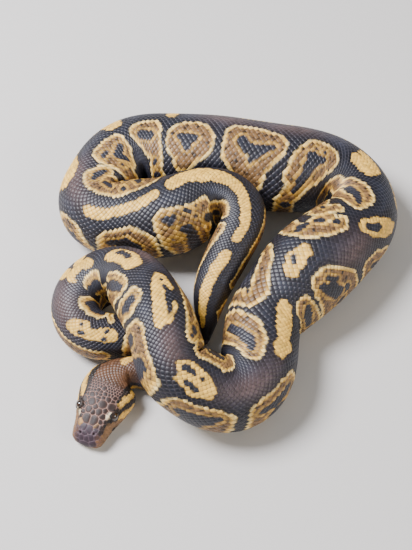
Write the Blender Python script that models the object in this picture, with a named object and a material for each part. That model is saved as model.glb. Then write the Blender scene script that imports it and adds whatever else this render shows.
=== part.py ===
"""Coiled ball python, life size, lying still: the plain solids of its body.

The middle line of the body is a belt laid round a row of pegs, as seen from above, with a
height and a half width at every peg. Rings are set square to that line and joined into
lengths, parted by thin cuts. Every reach from the middle line to the skin is the shortest of
four: the round section, the fold inside a bend, the floor, and the length it leans on.
Lengths here are millimetres until a mesh is made.
"""
import math

import bmesh
import bpy
import numpy as np

MM = 0.001                     # metres in a millimetre
GAP = 0.3                      # a cut, or the room left where two lengths touch
STEP = 1.0                     # spacing of the points on the middle line
EASE = 4.5                     # how far the corners of the belt are smoothed
CENTRE = (2.75, -6.0)          # the middle of the floor that the body covers, in the pegs' frame

# Pegs from snout to tail tip: centre x and y, radius, side of the peg that is the inner one
# (1 turns left, -1 turns right), then the body's half width and middle height there.
BENDS = [
    ("snout", -62.8, -94.1, 0.0, 1, 8.6, 7.6),
    ("neck", -43.1, -68.1, 9.0, -1, 8.6, 7.6),
    ("tuck", -27.0, -50.0, 9.5, 1, 9.4, 8.3),
    ("left coil", -54.8, -27.0, 15.0, -1, 13.4, 13.3),
    ("crossing", -28.5, -48.0, 0.0, 1, 16.2, 34.5),
    ("descent", -22.5, -69.5, 0.0, 1, 16.6, 28.5),
    ("front bend", -3.0, -56.5, 19.5, 1, 17.8, 15.7),
    ("right flank", 39.0, -43.0, 21.0, -1, 18.0, 16.0),
    ("upper flank", 41.8, -8.4, 0.0, 1, 22.3, 19.4),
    ("right bend", 48.0, 29.5, 22.0, 1, 17.8, 16.0),
    ("right shoulder", 30.0, 52.0, 0.0, 1, 22.5, 19.6),
    ("back", 0.0, 58.0, 0.0, 1, 22.4, 19.5),
    ("left shoulder", -37.5, 42.5, 21.0, 1, 20.0, 17.6),
    ("left bend", -53.5, 33.0, 10.5, 1, 19.0, 17.0),
    ("inner run", -31.0, 45.5, 26.0, 1, 20.0, 22.0),
    ("tail hook", -3.5, 15.5, 13.5, -1, 13.0, 28.0),
    ("tail run", 18.0, -25.0, 24.4, 1, 9.3, 14.5),
    ("tail tip", -8.5, -42.0, 0.0, 1, 2.0, 4.5),
]

# The lengths that the body is parted into, and how far from the snout each one ends.
LENGTHS = [
    ("head", 38.0), ("neck", 53.0), ("trunk_01", 97.0), ("trunk_02", 144.0),
    ("trunk_03", 188.0), ("trunk_04", 217.0), ("trunk_05", 241.0), ("trunk_06", 286.0),
    ("trunk_07", 322.0), ("trunk_08", 362.0), ("trunk_09", 428.0), ("trunk_10", 464.0),
    ("trunk_11", 498.0), ("trunk_12", 540.0), ("trunk_13", 574.0), ("trunk_14", 606.0),
    ("trunk_15", 650.0), ("tail", None),
]
RING_STEP = 5.5                # spacing of the rings of a length
RING_SIDES = 20
TAIL_END = 1.2                 # the tip is closed this far beyond its last ring

TOP_OF_SECTION = 0.95          # height above the middle line, in half widths
BELLY_OF_SECTION = 0.92        # depth below it
SECTION_POWER = 2.15           # 2 is an ellipse; a little more is fuller at the shoulders
FOLD_START = 0.5               # share of a bend's radius where the inner side starts to yield
FOLD_ROOM = 0.4                # how much further it ever reaches
SELF_REACH = 0.6               # rings nearer than this share of both half widths are one bend

# The head: distance from the snout, half width, top, bottom, and the height of the widest line.
# A bottom below nought is cut off flat by the floor.
HEAD = [
    ("lip", 0.0, 3.9, 6.0, 2.4, 4.2),
    ("rostral", 0.8, 5.8, 7.4, 1.4, 4.3),
    ("snout", 2.4, 7.3, 8.9, 0.6, 4.6),
    ("nostril", 4.8, 8.1, 10.2, 0.1, 5.0),
    ("cheek", 9.0, 8.9, 11.9, -0.2, 5.6),
    ("eye", 14.0, 10.5, 13.6, -0.3, 6.0),
    ("temple", 19.5, 12.2, 14.6, -0.3, 6.2),
    ("jaw", 26.0, 13.5, 15.2, -0.3, 6.6),
    ("jaw rear", 31.5, 12.6, 15.5, -0.3, 7.0),
    ("nape", 38.0, 9.3, 15.7, -0.3, 7.6),
]
HEAD_STEP = 1.9
HEAD_SIDES = 28
HEAD_POWER = 2.35
MOUTH = [(-3.0, 4.0), (3.0, 3.7), (12.0, 4.2), (20.0, 5.2), (27.5, 5.0)]  # along, height
JAW_END = (30.0, -4.0)         # the cut runs down from the mouth's corner to here
EYE_ALONG = 14.8
EYE_SIDE = 8.0
EYE_HEIGHT = 10.8
EYE_RADIUS = 2.4


def smooth(values, spread, step):
    """Gaussian running mean; the ends carry on in a straight line."""
    reach = int(4 * spread / step)
    weights = np.exp(-0.5 * (np.arange(-reach, reach + 1) * step / spread) ** 2)
    weights /= weights.sum()
    before = 2 * values[0] - values[reach:0:-1]
    after = 2 * values[-1] - values[-2:-reach - 2:-1]
    padded = np.concatenate([before, values, after])
    return np.convolve(padded, weights, "valid")


def through(x, xs, ys):
    """A curve through the given values that never overshoots them (Fritsch and Carlson)."""
    xs = np.asarray(xs, float)
    ys = np.asarray(ys, float)
    width = np.diff(xs)
    slope = np.diff(ys) / width
    tangent = np.zeros(len(xs))
    tangent[0], tangent[-1] = slope[0], slope[-1]
    same = slope[:-1] * slope[1:] > 0
    w1 = 2 * width[1:] + width[:-1]
    w2 = width[1:] + 2 * width[:-1]
    with np.errstate(divide="ignore", invalid="ignore"):
        mean = (w1 + w2) / (w1 / slope[:-1] + w2 / slope[1:])
    tangent[1:-1] = np.where(same, mean, 0)
    i = np.clip(np.searchsorted(xs, x) - 1, 0, len(width) - 1)
    t = (x - xs[i]) / width[i]
    return ((1 + 2 * t) * (1 - t) ** 2 * ys[i] + t * (1 - t) ** 2 * width[i] * tangent[i]
            + t * t * (3 - 2 * t) * ys[i + 1] + t * t * (t - 1) * width[i] * tangent[i + 1])


def straight_run(a, b):
    """Where a taut belt leaves peg a and meets peg b."""
    (_, xa, ya, ra, side_a), (_, xb, yb, rb, side_b) = a[:5], b[:5]
    apart = math.hypot(xb - xa, yb - ya)
    turn = math.acos(max(-1.0, min(1.0, (side_b * rb - side_a * ra) / apart)))
    angle = math.atan2(yb - ya, xb - xa) + turn
    across = np.array([math.cos(angle), math.sin(angle)])
    return np.array([xa, ya]) - side_a * ra * across, np.array([xb, yb]) - side_b * rb * across


def belt():
    """Points along the belt, the distance to each, and the distance to each peg's middle."""
    runs = [straight_run(a, b) for a, b in zip(BENDS, BENDS[1:])]
    points = [runs[0][0]]
    far = [0.0]
    middles = [0.0]

    def add(point):
        far.append(far[-1] + float(np.hypot(*(point - points[-1]))))
        points.append(point)

    def add_line(end):
        start = points[-1]
        count = max(2, int(np.hypot(*(end - start)) / STEP) + 1)
        for t in np.linspace(0, 1, count + 1)[1:]:
            add(start + (end - start) * t)

    for (_, x, y, radius, side, *_), before, after in zip(BENDS[1:-1], runs, runs[1:]):
        add_line(before[1])
        start = math.atan2(before[1][1] - y, before[1][0] - x)
        sweep = (side * (math.atan2(after[0][1] - y, after[0][0] - x) - start)) % (2 * math.pi)
        if radius == 0:
            sweep = 0.0
        first = far[-1]
        count = max(1, int(radius * sweep / STEP) + 1)
        for t in np.linspace(0, 1, count + 1)[1:]:
            angle = start + side * sweep * t
            add(np.array([x + radius * math.cos(angle), y + radius * math.sin(angle)]))
        middles.append((first + far[-1]) / 2)
    add_line(runs[-1][1])
    middles.append(far[-1])
    return np.array(points), np.array(far), np.array(middles)


class MiddleLine:
    """The middle line at even steps: place, half width, directions and how sharply it turns."""

    def __init__(self):
        points, far, middles = belt()
        count = int(far[-1] / STEP) + 1
        even = np.linspace(0, far[-1], count)
        height = through(even, middles, [bend[6] for bend in BENDS])
        rough = [np.interp(even, far, points[:, 0]) - CENTRE[0],
                 np.interp(even, far, points[:, 1]) - CENTRE[1], height]
        place = np.stack([smooth(v, EASE, even[1]) for v in rough], 1)
        travelled = np.r_[0, np.cumsum(np.linalg.norm(np.diff(place, axis=0), axis=1))]
        self.length = travelled[-1]
        self.s = np.linspace(0, self.length, int(self.length / STEP) + 1)
        self.place = np.stack([np.interp(self.s, travelled, place[:, k]) for k in range(3)], 1)
        half = through(np.interp(self.s, travelled, even), middles, [bend[5] for bend in BENDS])
        self.half = smooth(half, EASE, self.s[1])
        cheeks = through(self.s, [row[1] for row in HEAD], [row[2] for row in HEAD])
        self.half = np.where(self.s < HEAD[-1][1], cheeks, self.half)
        heading = np.gradient(self.place, self.s, axis=0)
        heading /= np.linalg.norm(heading, axis=1)[:, None]
        self.heading = heading
        self.turn = np.gradient(np.unwrap(np.arctan2(heading[:, 1], heading[:, 0])), self.s)

    def at(self, s):
        """Place, left, up, half width and turn at distances s from the snout."""
        def read(values):
            return np.stack([np.interp(s, self.s, values[:, k]) for k in range(3)], 1)
        heading = read(self.heading)
        heading /= np.linalg.norm(heading, axis=1)[:, None]
        left = np.stack([-heading[:, 1], heading[:, 0], 0 * s], 1)
        left /= np.linalg.norm(left, axis=1)[:, None]
        up = np.cross(heading, left)
        half = np.interp(s, self.s, self.half)
        return read(self.place), left, up, half, np.interp(s, self.s, self.turn)


def section_reach(half, side, rise):
    """Reach of the plain section along the unit direction (side, rise)."""
    tall = np.where(rise > 0, TOP_OF_SECTION, BELLY_OF_SECTION)
    total = np.abs(side) ** SECTION_POWER + np.abs(rise / tall) ** SECTION_POWER
    return half * total ** (-1 / SECTION_POWER)


def fold_reach(half, turn, side):
    """Reach on the inner side of a bend, where the skin folds up short of the bend's centre."""
    inward = side * np.sign(turn)
    share = np.abs(turn) * half
    beyond = np.maximum(share - FOLD_START, 0)
    kept = FOLD_START + FOLD_ROOM * (1 - np.exp(-beyond / FOLD_ROOM))
    limit = kept / np.maximum(np.abs(turn), 1e-6)
    return np.where((inward > 0.05) & (share > FOLD_START), limit / np.maximum(inward, 0.05), np.inf)


def neighbour_reach(line, s, place, direction, half, reach):
    """Shorten each reach so that two lengths that press together share the room fairly."""
    apart = np.abs(s[:, None] - line.s[None, :])
    near = SELF_REACH * (half[:, None] + line.half[None, :])
    low = np.zeros_like(reach)
    high = reach.copy()
    rule = np.where(apart > near, 1 / line.half[None, :], 0)
    for _ in range(18):
        middle = (low + high) / 2
        for ring in range(len(s)):
            points = place[ring] + direction[ring] * middle[ring][:, None]
            others = np.linalg.norm(points[:, None, :] - line.place[None, :, :], axis=2)
            share = np.where(rule[ring] > 0, (others - GAP) * rule[ring], np.inf).min(1)
            free = (middle[ring] + GAP) / half[ring] <= share
            low[ring] = np.where(free, middle[ring], low[ring])
            high[ring] = np.where(free, high[ring], middle[ring])
    return np.where(high > reach - 0.001, reach, low)


def rings(line, s, sides):
    """Rings of skin points square to the middle line at the distances s."""
    place, left, up, half, turn = line.at(s)
    angle = (np.arange(sides) + 0.5) * 2 * math.pi / sides
    side, rise = np.sin(angle), np.cos(angle)
    direction = left[:, None, :] * side[None, :, None] + up[:, None, :] * rise[None, :, None]
    reach = section_reach(half[:, None], side[None, :], rise[None, :])
    reach = np.minimum(reach, fold_reach(half[:, None], turn[:, None], side[None, :]))
    drop = np.maximum(-direction[:, :, 2], 1e-6)
    reach = np.minimum(reach, place[:, None, 2] / drop)
    reach = neighbour_reach(line, s, place, direction, half, reach)
    return place, place[:, None, :] + direction * reach[:, :, None]


def head_rings(line, s):
    """Rings of the head, upright and square to its axis."""
    along = [row[1] for row in HEAD]
    half, top, bottom, widest = (through(s, along, [row[k] for row in HEAD]) for k in (2, 3, 4, 5))
    place, left, _, _, _ = line.at(s)
    angle = (np.arange(HEAD_SIDES) + 0.5) * 2 * math.pi / HEAD_SIDES
    side, rise = np.sin(angle), np.cos(angle)
    across = np.sign(side) * np.abs(side) ** (2 / HEAD_POWER)
    lift = np.sign(rise) * np.abs(rise) ** (2 / HEAD_POWER)
    tall = np.where(rise > 0, (top - widest)[:, None], (widest - bottom)[:, None])
    points = place[:, None, :] + left[:, None, :] * (half[:, None] * across)[:, :, None]
    points[:, :, 2] = np.maximum(widest[:, None] + tall * lift, 0)
    middle = place.copy()
    middle[:, 2] = widest
    return middle, points


def add_object(name, mesh_data, material):
    """Give the finished bmesh an object, a name and a finish."""
    bmesh.ops.recalc_face_normals(mesh_data, faces=mesh_data.faces)
    mesh = bpy.data.meshes.new(name)
    mesh_data.to_mesh(mesh)
    mesh_data.free()
    mesh.materials.append(material)
    mesh.shade_smooth()
    mesh.set_sharp_from_angle(angle=math.radians(45))
    thing = bpy.data.objects.new(name, mesh)
    bpy.context.scene.collection.objects.link(thing)
    return thing


def loft(middles, points, first_tip=None, last_tip=None):
    """A closed skin over a row of rings, each end drawn in to its middle or to a tip."""
    made = bmesh.new()
    rows = [[made.verts.new(p * MM) for p in ring] for ring in points]
    for row, following in zip(rows, rows[1:]):
        for k, vert in enumerate(row):
            after = (k + 1) % len(row)
            made.faces.new((vert, row[after], following[after], following[k]))
    ends = ((rows[0], middles[0] if first_tip is None else first_tip),
            (rows[-1], middles[-1] if last_tip is None else last_tip))
    for row, tip in ends:
        centre = made.verts.new(tip * MM)
        for k, vert in enumerate(row):
            made.faces.new((row[(k + 1) % len(row)], vert, centre))
    bmesh.ops.triangulate(made, faces=made.faces)
    return made


def guide(name, mesh_data):
    """A cutter: drawn as wire and left out of renders."""
    cutter = add_object(name, mesh_data, bpy.data.materials["belly_skin"])
    cutter.hide_render = True
    cutter.display_type = "WIRE"
    return cutter


def prism(name, frame, profile, half_width):
    """A block with the given outline, seen from the side, in the head's frame."""
    origin, left, ahead = frame
    made = bmesh.new()
    walls = []
    for side in (-half_width, half_width):
        walls.append([made.verts.new((origin + ahead * along + left * side
                                      + np.array([0, 0, height])) * MM) for along, height in profile])
    for k in range(len(profile)):
        after = (k + 1) % len(profile)
        made.faces.new((walls[0][k], walls[0][after], walls[1][after], walls[1][k]))
    made.faces.new(walls[0])
    made.faces.new(walls[1])
    return guide(name, made)


def ball(name, centre, radius, columns=16, rows=10):
    """A round ball as a bmesh."""
    made = bmesh.new()
    bmesh.ops.create_uvsphere(made, u_segments=columns, v_segments=rows, radius=radius * MM)
    bmesh.ops.translate(made, verts=made.verts, vec=centre * MM)
    return made


def cut(thing, cutter, operation="DIFFERENCE"):
    """Add a Boolean that takes the cutter away from the thing, or keeps what they share."""
    modifier = thing.modifiers.new(cutter.name, "BOOLEAN")
    modifier.operation = operation
    modifier.solver = "EXACT"
    modifier.object = cutter


def build_head(line, skin, belly, eye):
    """The head with its eye sockets, the lower jaw below the mouth's cut, and the two eyes."""
    end = dict(LENGTHS)["head"] - GAP / 2
    s = np.r_[0.0, 0.8, np.linspace(HEAD_STEP, end, int(end / HEAD_STEP) + 1)]
    middles, points = head_rings(line, s)
    place, left, _, _, _ = line.at(np.array([0.0]))
    ahead = line.heading[0] * np.array([1, 1, 0])
    ahead /= np.linalg.norm(ahead)
    frame = (place[0] * np.array([1, 1, 0]), left[0], ahead)
    snout_tip = middles[0] - ahead * 0.4

    head = add_object("head", loft(middles, points, first_tip=snout_tip), skin)
    jaw = add_object("lower_jaw", loft(middles, points, first_tip=snout_tip), belly)
    floor_line = [JAW_END, (MOUTH[0][0], JAW_END[1])]
    raised = [(along, height + GAP / 2) for along, height in MOUTH[:-1]]
    corner = (MOUTH[-1][0] + GAP / 2, MOUTH[-1][1] + GAP / 2)
    foot = (JAW_END[0] + GAP / 2, JAW_END[1])
    cut(head, prism("mouth_room", frame, raised + [corner, foot, floor_line[1]], 20))
    lowered = [(along, height - GAP / 2) for along, height in MOUTH[:-1]]
    corner = (MOUTH[-1][0] - GAP / 2, MOUTH[-1][1] - GAP / 2)
    foot = (JAW_END[0] - GAP / 2, JAW_END[1])
    cut(jaw, prism("jaw_room", frame, lowered + [corner, foot, floor_line[1]], 20), "INTERSECT")

    origin, left, ahead = frame
    for name, side in (("eye_left", 1), ("eye_right", -1)):
        centre = origin + ahead * EYE_ALONG + left * (side * EYE_SIDE)
        centre[2] = EYE_HEIGHT
        add_object(name, ball(name, centre, EYE_RADIUS), eye)
        cut(head, guide(name + "_socket", ball(name, centre, EYE_RADIUS + GAP)))


def build_lengths(line, finishes):
    """Neck, trunk and tail, each from its own cut to the next."""
    start = LENGTHS[0][1]
    for name, stop in LENGTHS[1:]:
        last = line.length if stop is None else stop - GAP / 2
        first = start + GAP / 2
        s = np.linspace(first, last, int((last - first) / RING_STEP) + 2)
        middles, points = rings(line, s, RING_SIDES)
        tip = None
        if stop is None:
            tip = middles[-1] + line.heading[-1] * TAIL_END
        add_object(name, loft(middles, points, last_tip=tip), finishes[name.split("_")[0]])
        start = stop


def finish(name, colour, roughness):
    """A plain material: colour, roughness, no metal."""
    material = bpy.data.materials.new(name)
    material.use_nodes = True
    shader = material.node_tree.nodes["Principled BSDF"]
    shader.inputs["Base Color"].default_value = (*colour, 1.0)
    shader.inputs["Roughness"].default_value = roughness
    shader.inputs["Metallic"].default_value = 0.0
    return material


def main():
    for thing in list(bpy.data.objects):
        bpy.data.objects.remove(thing, do_unlink=True)
    skin = finish("back_skin", (0.035, 0.035, 0.05), 0.35)
    crown = finish("head_skin", (0.09, 0.055, 0.045), 0.35)
    belly = finish("belly_skin", (0.62, 0.52, 0.38), 0.45)
    eye = finish("eye", (0.01, 0.008, 0.007), 0.08)
    line = MiddleLine()
    build_head(line, crown, belly, eye)
    build_lengths(line, {"neck": crown, "trunk": skin, "tail": skin})


main()
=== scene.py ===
import math

import bpy
import numpy as np
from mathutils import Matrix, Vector


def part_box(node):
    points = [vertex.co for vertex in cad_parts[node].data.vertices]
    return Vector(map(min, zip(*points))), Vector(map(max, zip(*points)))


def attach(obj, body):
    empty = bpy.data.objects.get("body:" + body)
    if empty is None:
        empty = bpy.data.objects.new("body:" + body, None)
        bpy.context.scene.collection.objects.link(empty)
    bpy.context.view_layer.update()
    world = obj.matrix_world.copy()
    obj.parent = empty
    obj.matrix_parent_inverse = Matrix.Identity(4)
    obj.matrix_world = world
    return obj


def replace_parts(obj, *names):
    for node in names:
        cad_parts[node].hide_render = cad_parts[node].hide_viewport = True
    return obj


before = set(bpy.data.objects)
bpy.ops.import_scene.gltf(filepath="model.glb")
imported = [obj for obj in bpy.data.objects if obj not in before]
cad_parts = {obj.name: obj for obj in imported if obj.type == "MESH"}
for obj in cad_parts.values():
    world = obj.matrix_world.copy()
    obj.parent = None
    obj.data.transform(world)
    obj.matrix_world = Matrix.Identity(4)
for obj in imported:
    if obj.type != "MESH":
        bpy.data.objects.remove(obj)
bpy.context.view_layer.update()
mm = 0.001
farOff = 1e3                     # mm, further than anything on the animal

# Pegs from snout to tail tip, in millimetres: centre x and y, radius, inner side (1 turns left,
# -1 turns right), half width, height of the middle line, and how far the spine rolls to the
# right of the way the body runs, in degrees.
pegs = [
    ("snout", -62.8, -94.1, 0.0, 1, 8.6, 7.6, 0),
    ("neck", -43.1, -68.1, 9.0, -1, 8.6, 7.6, 0),
    ("tuck", -27.0, -50.0, 9.5, 1, 9.4, 8.3, 0),
    ("left coil", -54.8, -27.0, 15.0, -1, 13.4, 13.3, -32),
    ("crossing", -28.5, -48.0, 0.0, 1, 16.2, 34.5, 0),
    ("descent", -22.5, -69.5, 0.0, 1, 16.6, 28.5, 10),
    ("front bend", -3.0, -56.5, 19.5, 1, 17.8, 15.7, 25),
    ("right flank", 39.0, -43.0, 21.0, -1, 18.0, 16.0, 38),
    ("upper flank", 41.8, -8.4, 0.0, 1, 22.3, 19.4, 36),
    ("right bend", 48.0, 29.5, 22.0, 1, 17.8, 16.0, 30),
    ("right shoulder", 30.0, 52.0, 0.0, 1, 22.5, 19.6, 28),
    ("back", 0.0, 58.0, 0.0, 1, 22.4, 19.5, 28),
    ("left shoulder", -37.5, 42.5, 21.0, 1, 20.0, 17.6, 34),
    ("left bend", -53.5, 33.0, 10.5, 1, 19.0, 17.0, 32),
    ("inner run", -31.0, 45.5, 26.0, 1, 20.0, 22.0, 0),
    ("tail hook", -3.5, 15.5, 13.5, -1, 13.0, 28.0, -25),
    ("tail run", 18.0, -25.0, 24.4, 1, 9.3, 14.5, 15),
    ("tail tip", -8.5, -42.0, 0.0, 1, 2.0, 4.5, 0),
]
body = {
    "centre": (2.75, -6.0),      # the middle of the floor it covers, in the pegs' frame
    "step": 1.0,                 # spacing of points on the middle line
    "tailPoints": 60,            # points on the last straight run
    "ease": 4.5,                 # how far the belt's corners are smoothed
    "top": 0.95,                 # height of a section above the middle line, in half widths
    "belly": 0.92,               # and below it
    "power": 2.15,               # 2 makes an ellipse of a section, more squares it
    "foldStart": 0.5,            # share of a bend's radius where the inner side starts to yield
    "foldRoom": 0.4,             # and the most that it keeps beyond that
    "selfReach": 0.6,            # rings nearer than this share of both half widths are one bend
    "gap": 0.3,                  # between two lengths that touch
    "coat": 0.28,                # the skin lies this far inside the solids, for the scales
    "headEnd": 38.0,             # widths come from the head's table up to here
    "ringsAtOnce": 24,           # rings worked out together, to spare memory
}
skin = {
    "columns": 160,              # points round a ring
    "bodyStep": 1.34,            # from ring to ring
    "headStep": 0.34,
    "headStepEnd": 36.0,
    "snoutRings": 14,            # rings that crowd towards the tip of the snout
    "snoutLength": 2.5,
    "tailEnd": (0.4, 0.1),       # even rings stop this far off the line's end; one more lies here
    "tip": 1.0,                  # the tail's point, past the line's end
    "angles": 97,                # directions in which a section is worked out
    "contactSoft": 3.0,          # how far the edge of a pressed flat is rounded
    "floorSoft": 2.0,
    "foldSoft": 3.0,
    "headBlend": (31.0, 43.0),   # the head's form turns into the body's between these
}
# Distance from the snout, half width, top, bottom, height of the widest line.
headTable = [
    (-0.4, 0.05, 4.25, 4.15, 4.2),
    (0.0, 3.9, 6.0, 2.4, 4.2),
    (0.8, 5.8, 7.4, 1.4, 4.3),
    (2.4, 7.3, 8.9, 0.6, 4.6),
    (4.8, 8.1, 10.2, 0.1, 5.0),
    (9.0, 8.9, 11.9, -0.2, 5.6),
    (14.0, 10.5, 13.6, -0.3, 6.0),
    (19.5, 12.2, 14.6, -0.3, 6.2),
    (26.0, 13.5, 15.2, -0.3, 6.6),
    (31.5, 12.6, 15.5, -0.3, 7.0),
    (38.0, 9.3, 15.7, -0.3, 7.6),
    (46.0, 8.7, 15.8, -0.3, 7.6),
]
head = {
    "power": 2.35,               # 2 makes an ellipse of a section, more squares it
    "topCoat": 0.8,              # share of the coat's depth that is left free on top
    "lowest": 0.12,              # the chin's skin stays this far off the floor
}


def linear(hexText):
    # sRGB hex to linear light
    value = np.array([int(hexText[k:k + 2], 16) for k in (0, 2, 4)]) / 255
    return np.where(value <= 0.04045, value / 12.92, ((value + 0.055) / 1.055) ** 2.4)


def smoothed(values, spread, step):
    # Gaussian running mean; the ends carry on in a straight line
    reach = int(4 * spread / step)
    weights = np.exp(-0.5 * (np.arange(-reach, reach + 1) * step / spread) ** 2)
    before = 2 * values[0] - values[reach:0:-1]
    after = 2 * values[-1] - values[-2:-reach - 2:-1]
    return np.convolve(np.concatenate([before, values, after]), weights / weights.sum(), "valid")


def through(x, xs, ys):
    # a curve through the values that never overshoots them (Fritsch and Carlson)
    xs, ys = np.asarray(xs, float), np.asarray(ys, float)
    width = np.diff(xs)
    slope = np.diff(ys) / width
    tangent = np.zeros(len(xs))
    tangent[0], tangent[-1] = slope[0], slope[-1]
    w1, w2 = 2 * width[1:] + width[:-1], width[1:] + 2 * width[:-1]
    with np.errstate(divide="ignore", invalid="ignore"):
        mean = (w1 + w2) / (w1 / slope[:-1] + w2 / slope[1:])
    tangent[1:-1] = np.where(slope[:-1] * slope[1:] > 0, mean, 0)
    i = np.clip(np.searchsorted(xs, x) - 1, 0, len(width) - 1)
    t = (x - xs[i]) / width[i]
    return ((1 + 2 * t) * (1 - t) ** 2 * ys[i] + t * (1 - t) ** 2 * width[i] * tangent[i]
            + t * t * (3 - 2 * t) * ys[i + 1] + t * t * (t - 1) * width[i] * tangent[i + 1])


def softMin(a, b, soft):
    # the smaller of two, its corner rounded over a width of soft
    near = np.maximum(soft - np.abs(a - b), 0) / soft
    return np.minimum(a, b) - near * near * soft / 4


def ramp(x, low, high):
    # 0 at low, 1 at high and a smooth S between; low may be the larger of the two
    t = np.clip((x - low) / (high - low), 0, 1)
    return t * t * (3 - 2 * t)


def hump(x, width):
    # a bell: 1 at zero, and e to the power of minus (x / width) squared further off
    return np.exp(-(x / width) ** 2)


def straightRun(a, b):
    # where a taut belt leaves peg a and meets peg b
    (xa, ya, ra, sideA), (xb, yb, rb, sideB) = a[1:5], b[1:5]
    apart = math.hypot(xb - xa, yb - ya)
    angle = math.atan2(yb - ya, xb - xa) + math.acos((sideB * rb - sideA * ra) / apart)
    across = np.array([math.cos(angle), math.sin(angle)])
    return np.array([xa, ya]) - sideA * ra * across, np.array([xb, yb]) - sideB * rb * across


def beltLine():
    # straight runs between pegs and arcs round them; also the distance to each peg's middle
    runs = [straightRun(a, b) for a, b in zip(pegs, pegs[1:])]
    parts, spans = [runs[0][0][None]], [(0, 0)]
    count = 1
    for (_, x, y, radius, side, *_), before, after in zip(pegs[1:-1], runs, runs[1:]):
        reach = np.hypot(*(before[1] - before[0]))
        steps = np.linspace(0, 1, int(reach / body["step"]) + 3)[1:, None]
        parts.append(before[0] + (before[1] - before[0]) * steps)
        start = math.atan2(before[1][1] - y, before[1][0] - x)
        end = math.atan2(after[0][1] - y, after[0][0] - x)
        sweep = (side * (end - start)) % (2 * math.pi) if radius > 0 else 0.0
        angles = start + side * sweep * np.linspace(0, 1, int(radius * sweep / body["step"]) + 2)[1:]
        parts.append(np.stack([x + radius * np.cos(angles), y + radius * np.sin(angles)], 1))
        first = count + len(parts[-2]) - 1
        count = first + 1 + len(parts[-1])
        spans.append((first, count - 1))
    steps = np.linspace(0, 1, body["tailPoints"])[1:, None]
    parts.append(runs[-1][0] + (runs[-1][1] - runs[-1][0]) * steps)
    points = np.concatenate(parts)
    far = np.r_[0, np.cumsum(np.hypot(*np.diff(points, axis=0).T))]
    spans.append((len(points) - 1, len(points) - 1))
    return points, far, np.array([(far[a] + far[b]) / 2 for a, b in spans])


def middleLine():
    # even steps along the body: place, half width, roll, heading and how sharply it turns
    points, far, middles = beltLine()
    even = np.linspace(0, far[-1], int(far[-1] / body["step"]) + 1)
    height = through(even, middles, [peg[6] for peg in pegs])
    rough = [np.interp(even, far, points[:, 0]) - body["centre"][0],
             np.interp(even, far, points[:, 1]) - body["centre"][1], height]
    place = np.stack([smoothed(v, body["ease"], even[1]) for v in rough], 1)
    travelled = np.r_[0, np.cumsum(np.linalg.norm(np.diff(place, axis=0), axis=1))]
    line = {"length": travelled[-1]}
    line["s"] = np.linspace(0, travelled[-1], int(travelled[-1] / body["step"]) + 1)
    line["place"] = np.stack([np.interp(line["s"], travelled, place[:, k]) for k in range(3)], 1)
    old = np.interp(line["s"], travelled, even)
    line["half"] = smoothed(through(old, middles, [peg[5] for peg in pegs]), body["ease"], line["s"][1])
    line["roll"] = smoothed(through(old, middles, [peg[7] for peg in pegs]), body["ease"], line["s"][1])
    heading = np.gradient(line["place"], line["s"], axis=0)
    line["heading"] = heading / np.linalg.norm(heading, axis=1)[:, None]
    line["turn"] = np.gradient(np.unwrap(np.arctan2(heading[:, 1], heading[:, 0])), line["s"])
    cheeks = through(line["s"], [row[0] for row in headTable], [row[1] for row in headTable])
    line["width"] = np.where(line["s"] < body["headEnd"], cheeks, line["half"])
    return line


def lineAt(line, s):
    # place, left, up, half width and turn at distances s; it runs straight on beyond the snout
    heading = np.stack([np.interp(s, line["s"], line["heading"][:, k]) for k in range(3)], 1)
    place = np.stack([np.interp(s, line["s"], line["place"][:, k]) for k in range(3)], 1)
    place += heading * np.minimum(s, 0)[:, None]
    heading /= np.linalg.norm(heading, axis=1)[:, None]
    left = np.stack([-heading[:, 1], heading[:, 0], 0 * s], 1)
    left /= np.linalg.norm(left, axis=1)[:, None]
    return place, left, np.cross(heading, left), np.interp(s, line["s"], line["half"]), \
        np.interp(s, line["s"], line["turn"])


def contactReach(line, s, place, direction, width):
    # the fair share of the room between two lengths: where distance over half width is equal.
    # Along a ray from one middle, that is the first root of a quadratic for every other middle;
    # every second point of the line is enough.
    others = slice(0, None, 2)
    centre, half, far = line["place"][others], line["width"][others], line["s"][others]
    best = np.full(direction.shape[:2], np.inf)
    for first in range(0, len(s), body["ringsAtOnce"]):
        rows = slice(first, first + body["ringsAtOnce"])
        toOther = centre[None] - place[rows, None, :]
        ratio = half[None, :] / width[rows, None]
        slack = body["gap"] * (1 + ratio)
        a = 1 - ratio ** 2
        b = -2 * (np.einsum("rck,rok->rco", direction[rows], toOther) + (ratio * slack)[:, None, :])
        c = ((toOther ** 2).sum(2) - slack ** 2)[:, None, :]
        a = np.broadcast_to(a[:, None, :], b.shape)
        inside = b * b - 4 * a * c
        root = np.sqrt(np.maximum(inside, 0))
        with np.errstate(divide="ignore", invalid="ignore"):
            near = 2 * c / (-b + root)
            beyond = 2 * c / (-b - root)
        t = np.where(near > 0, near, np.inf)
        t = np.minimum(t, np.where(beyond > 0, beyond, np.inf))
        apart = np.abs(s[rows, None] - far[None]) > body["selfReach"] * (width[rows, None] + half[None])
        t = np.where((inside >= 0) & apart[:, None, :], t, np.inf)
        best[rows] = t.min(2)
    return best


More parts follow.
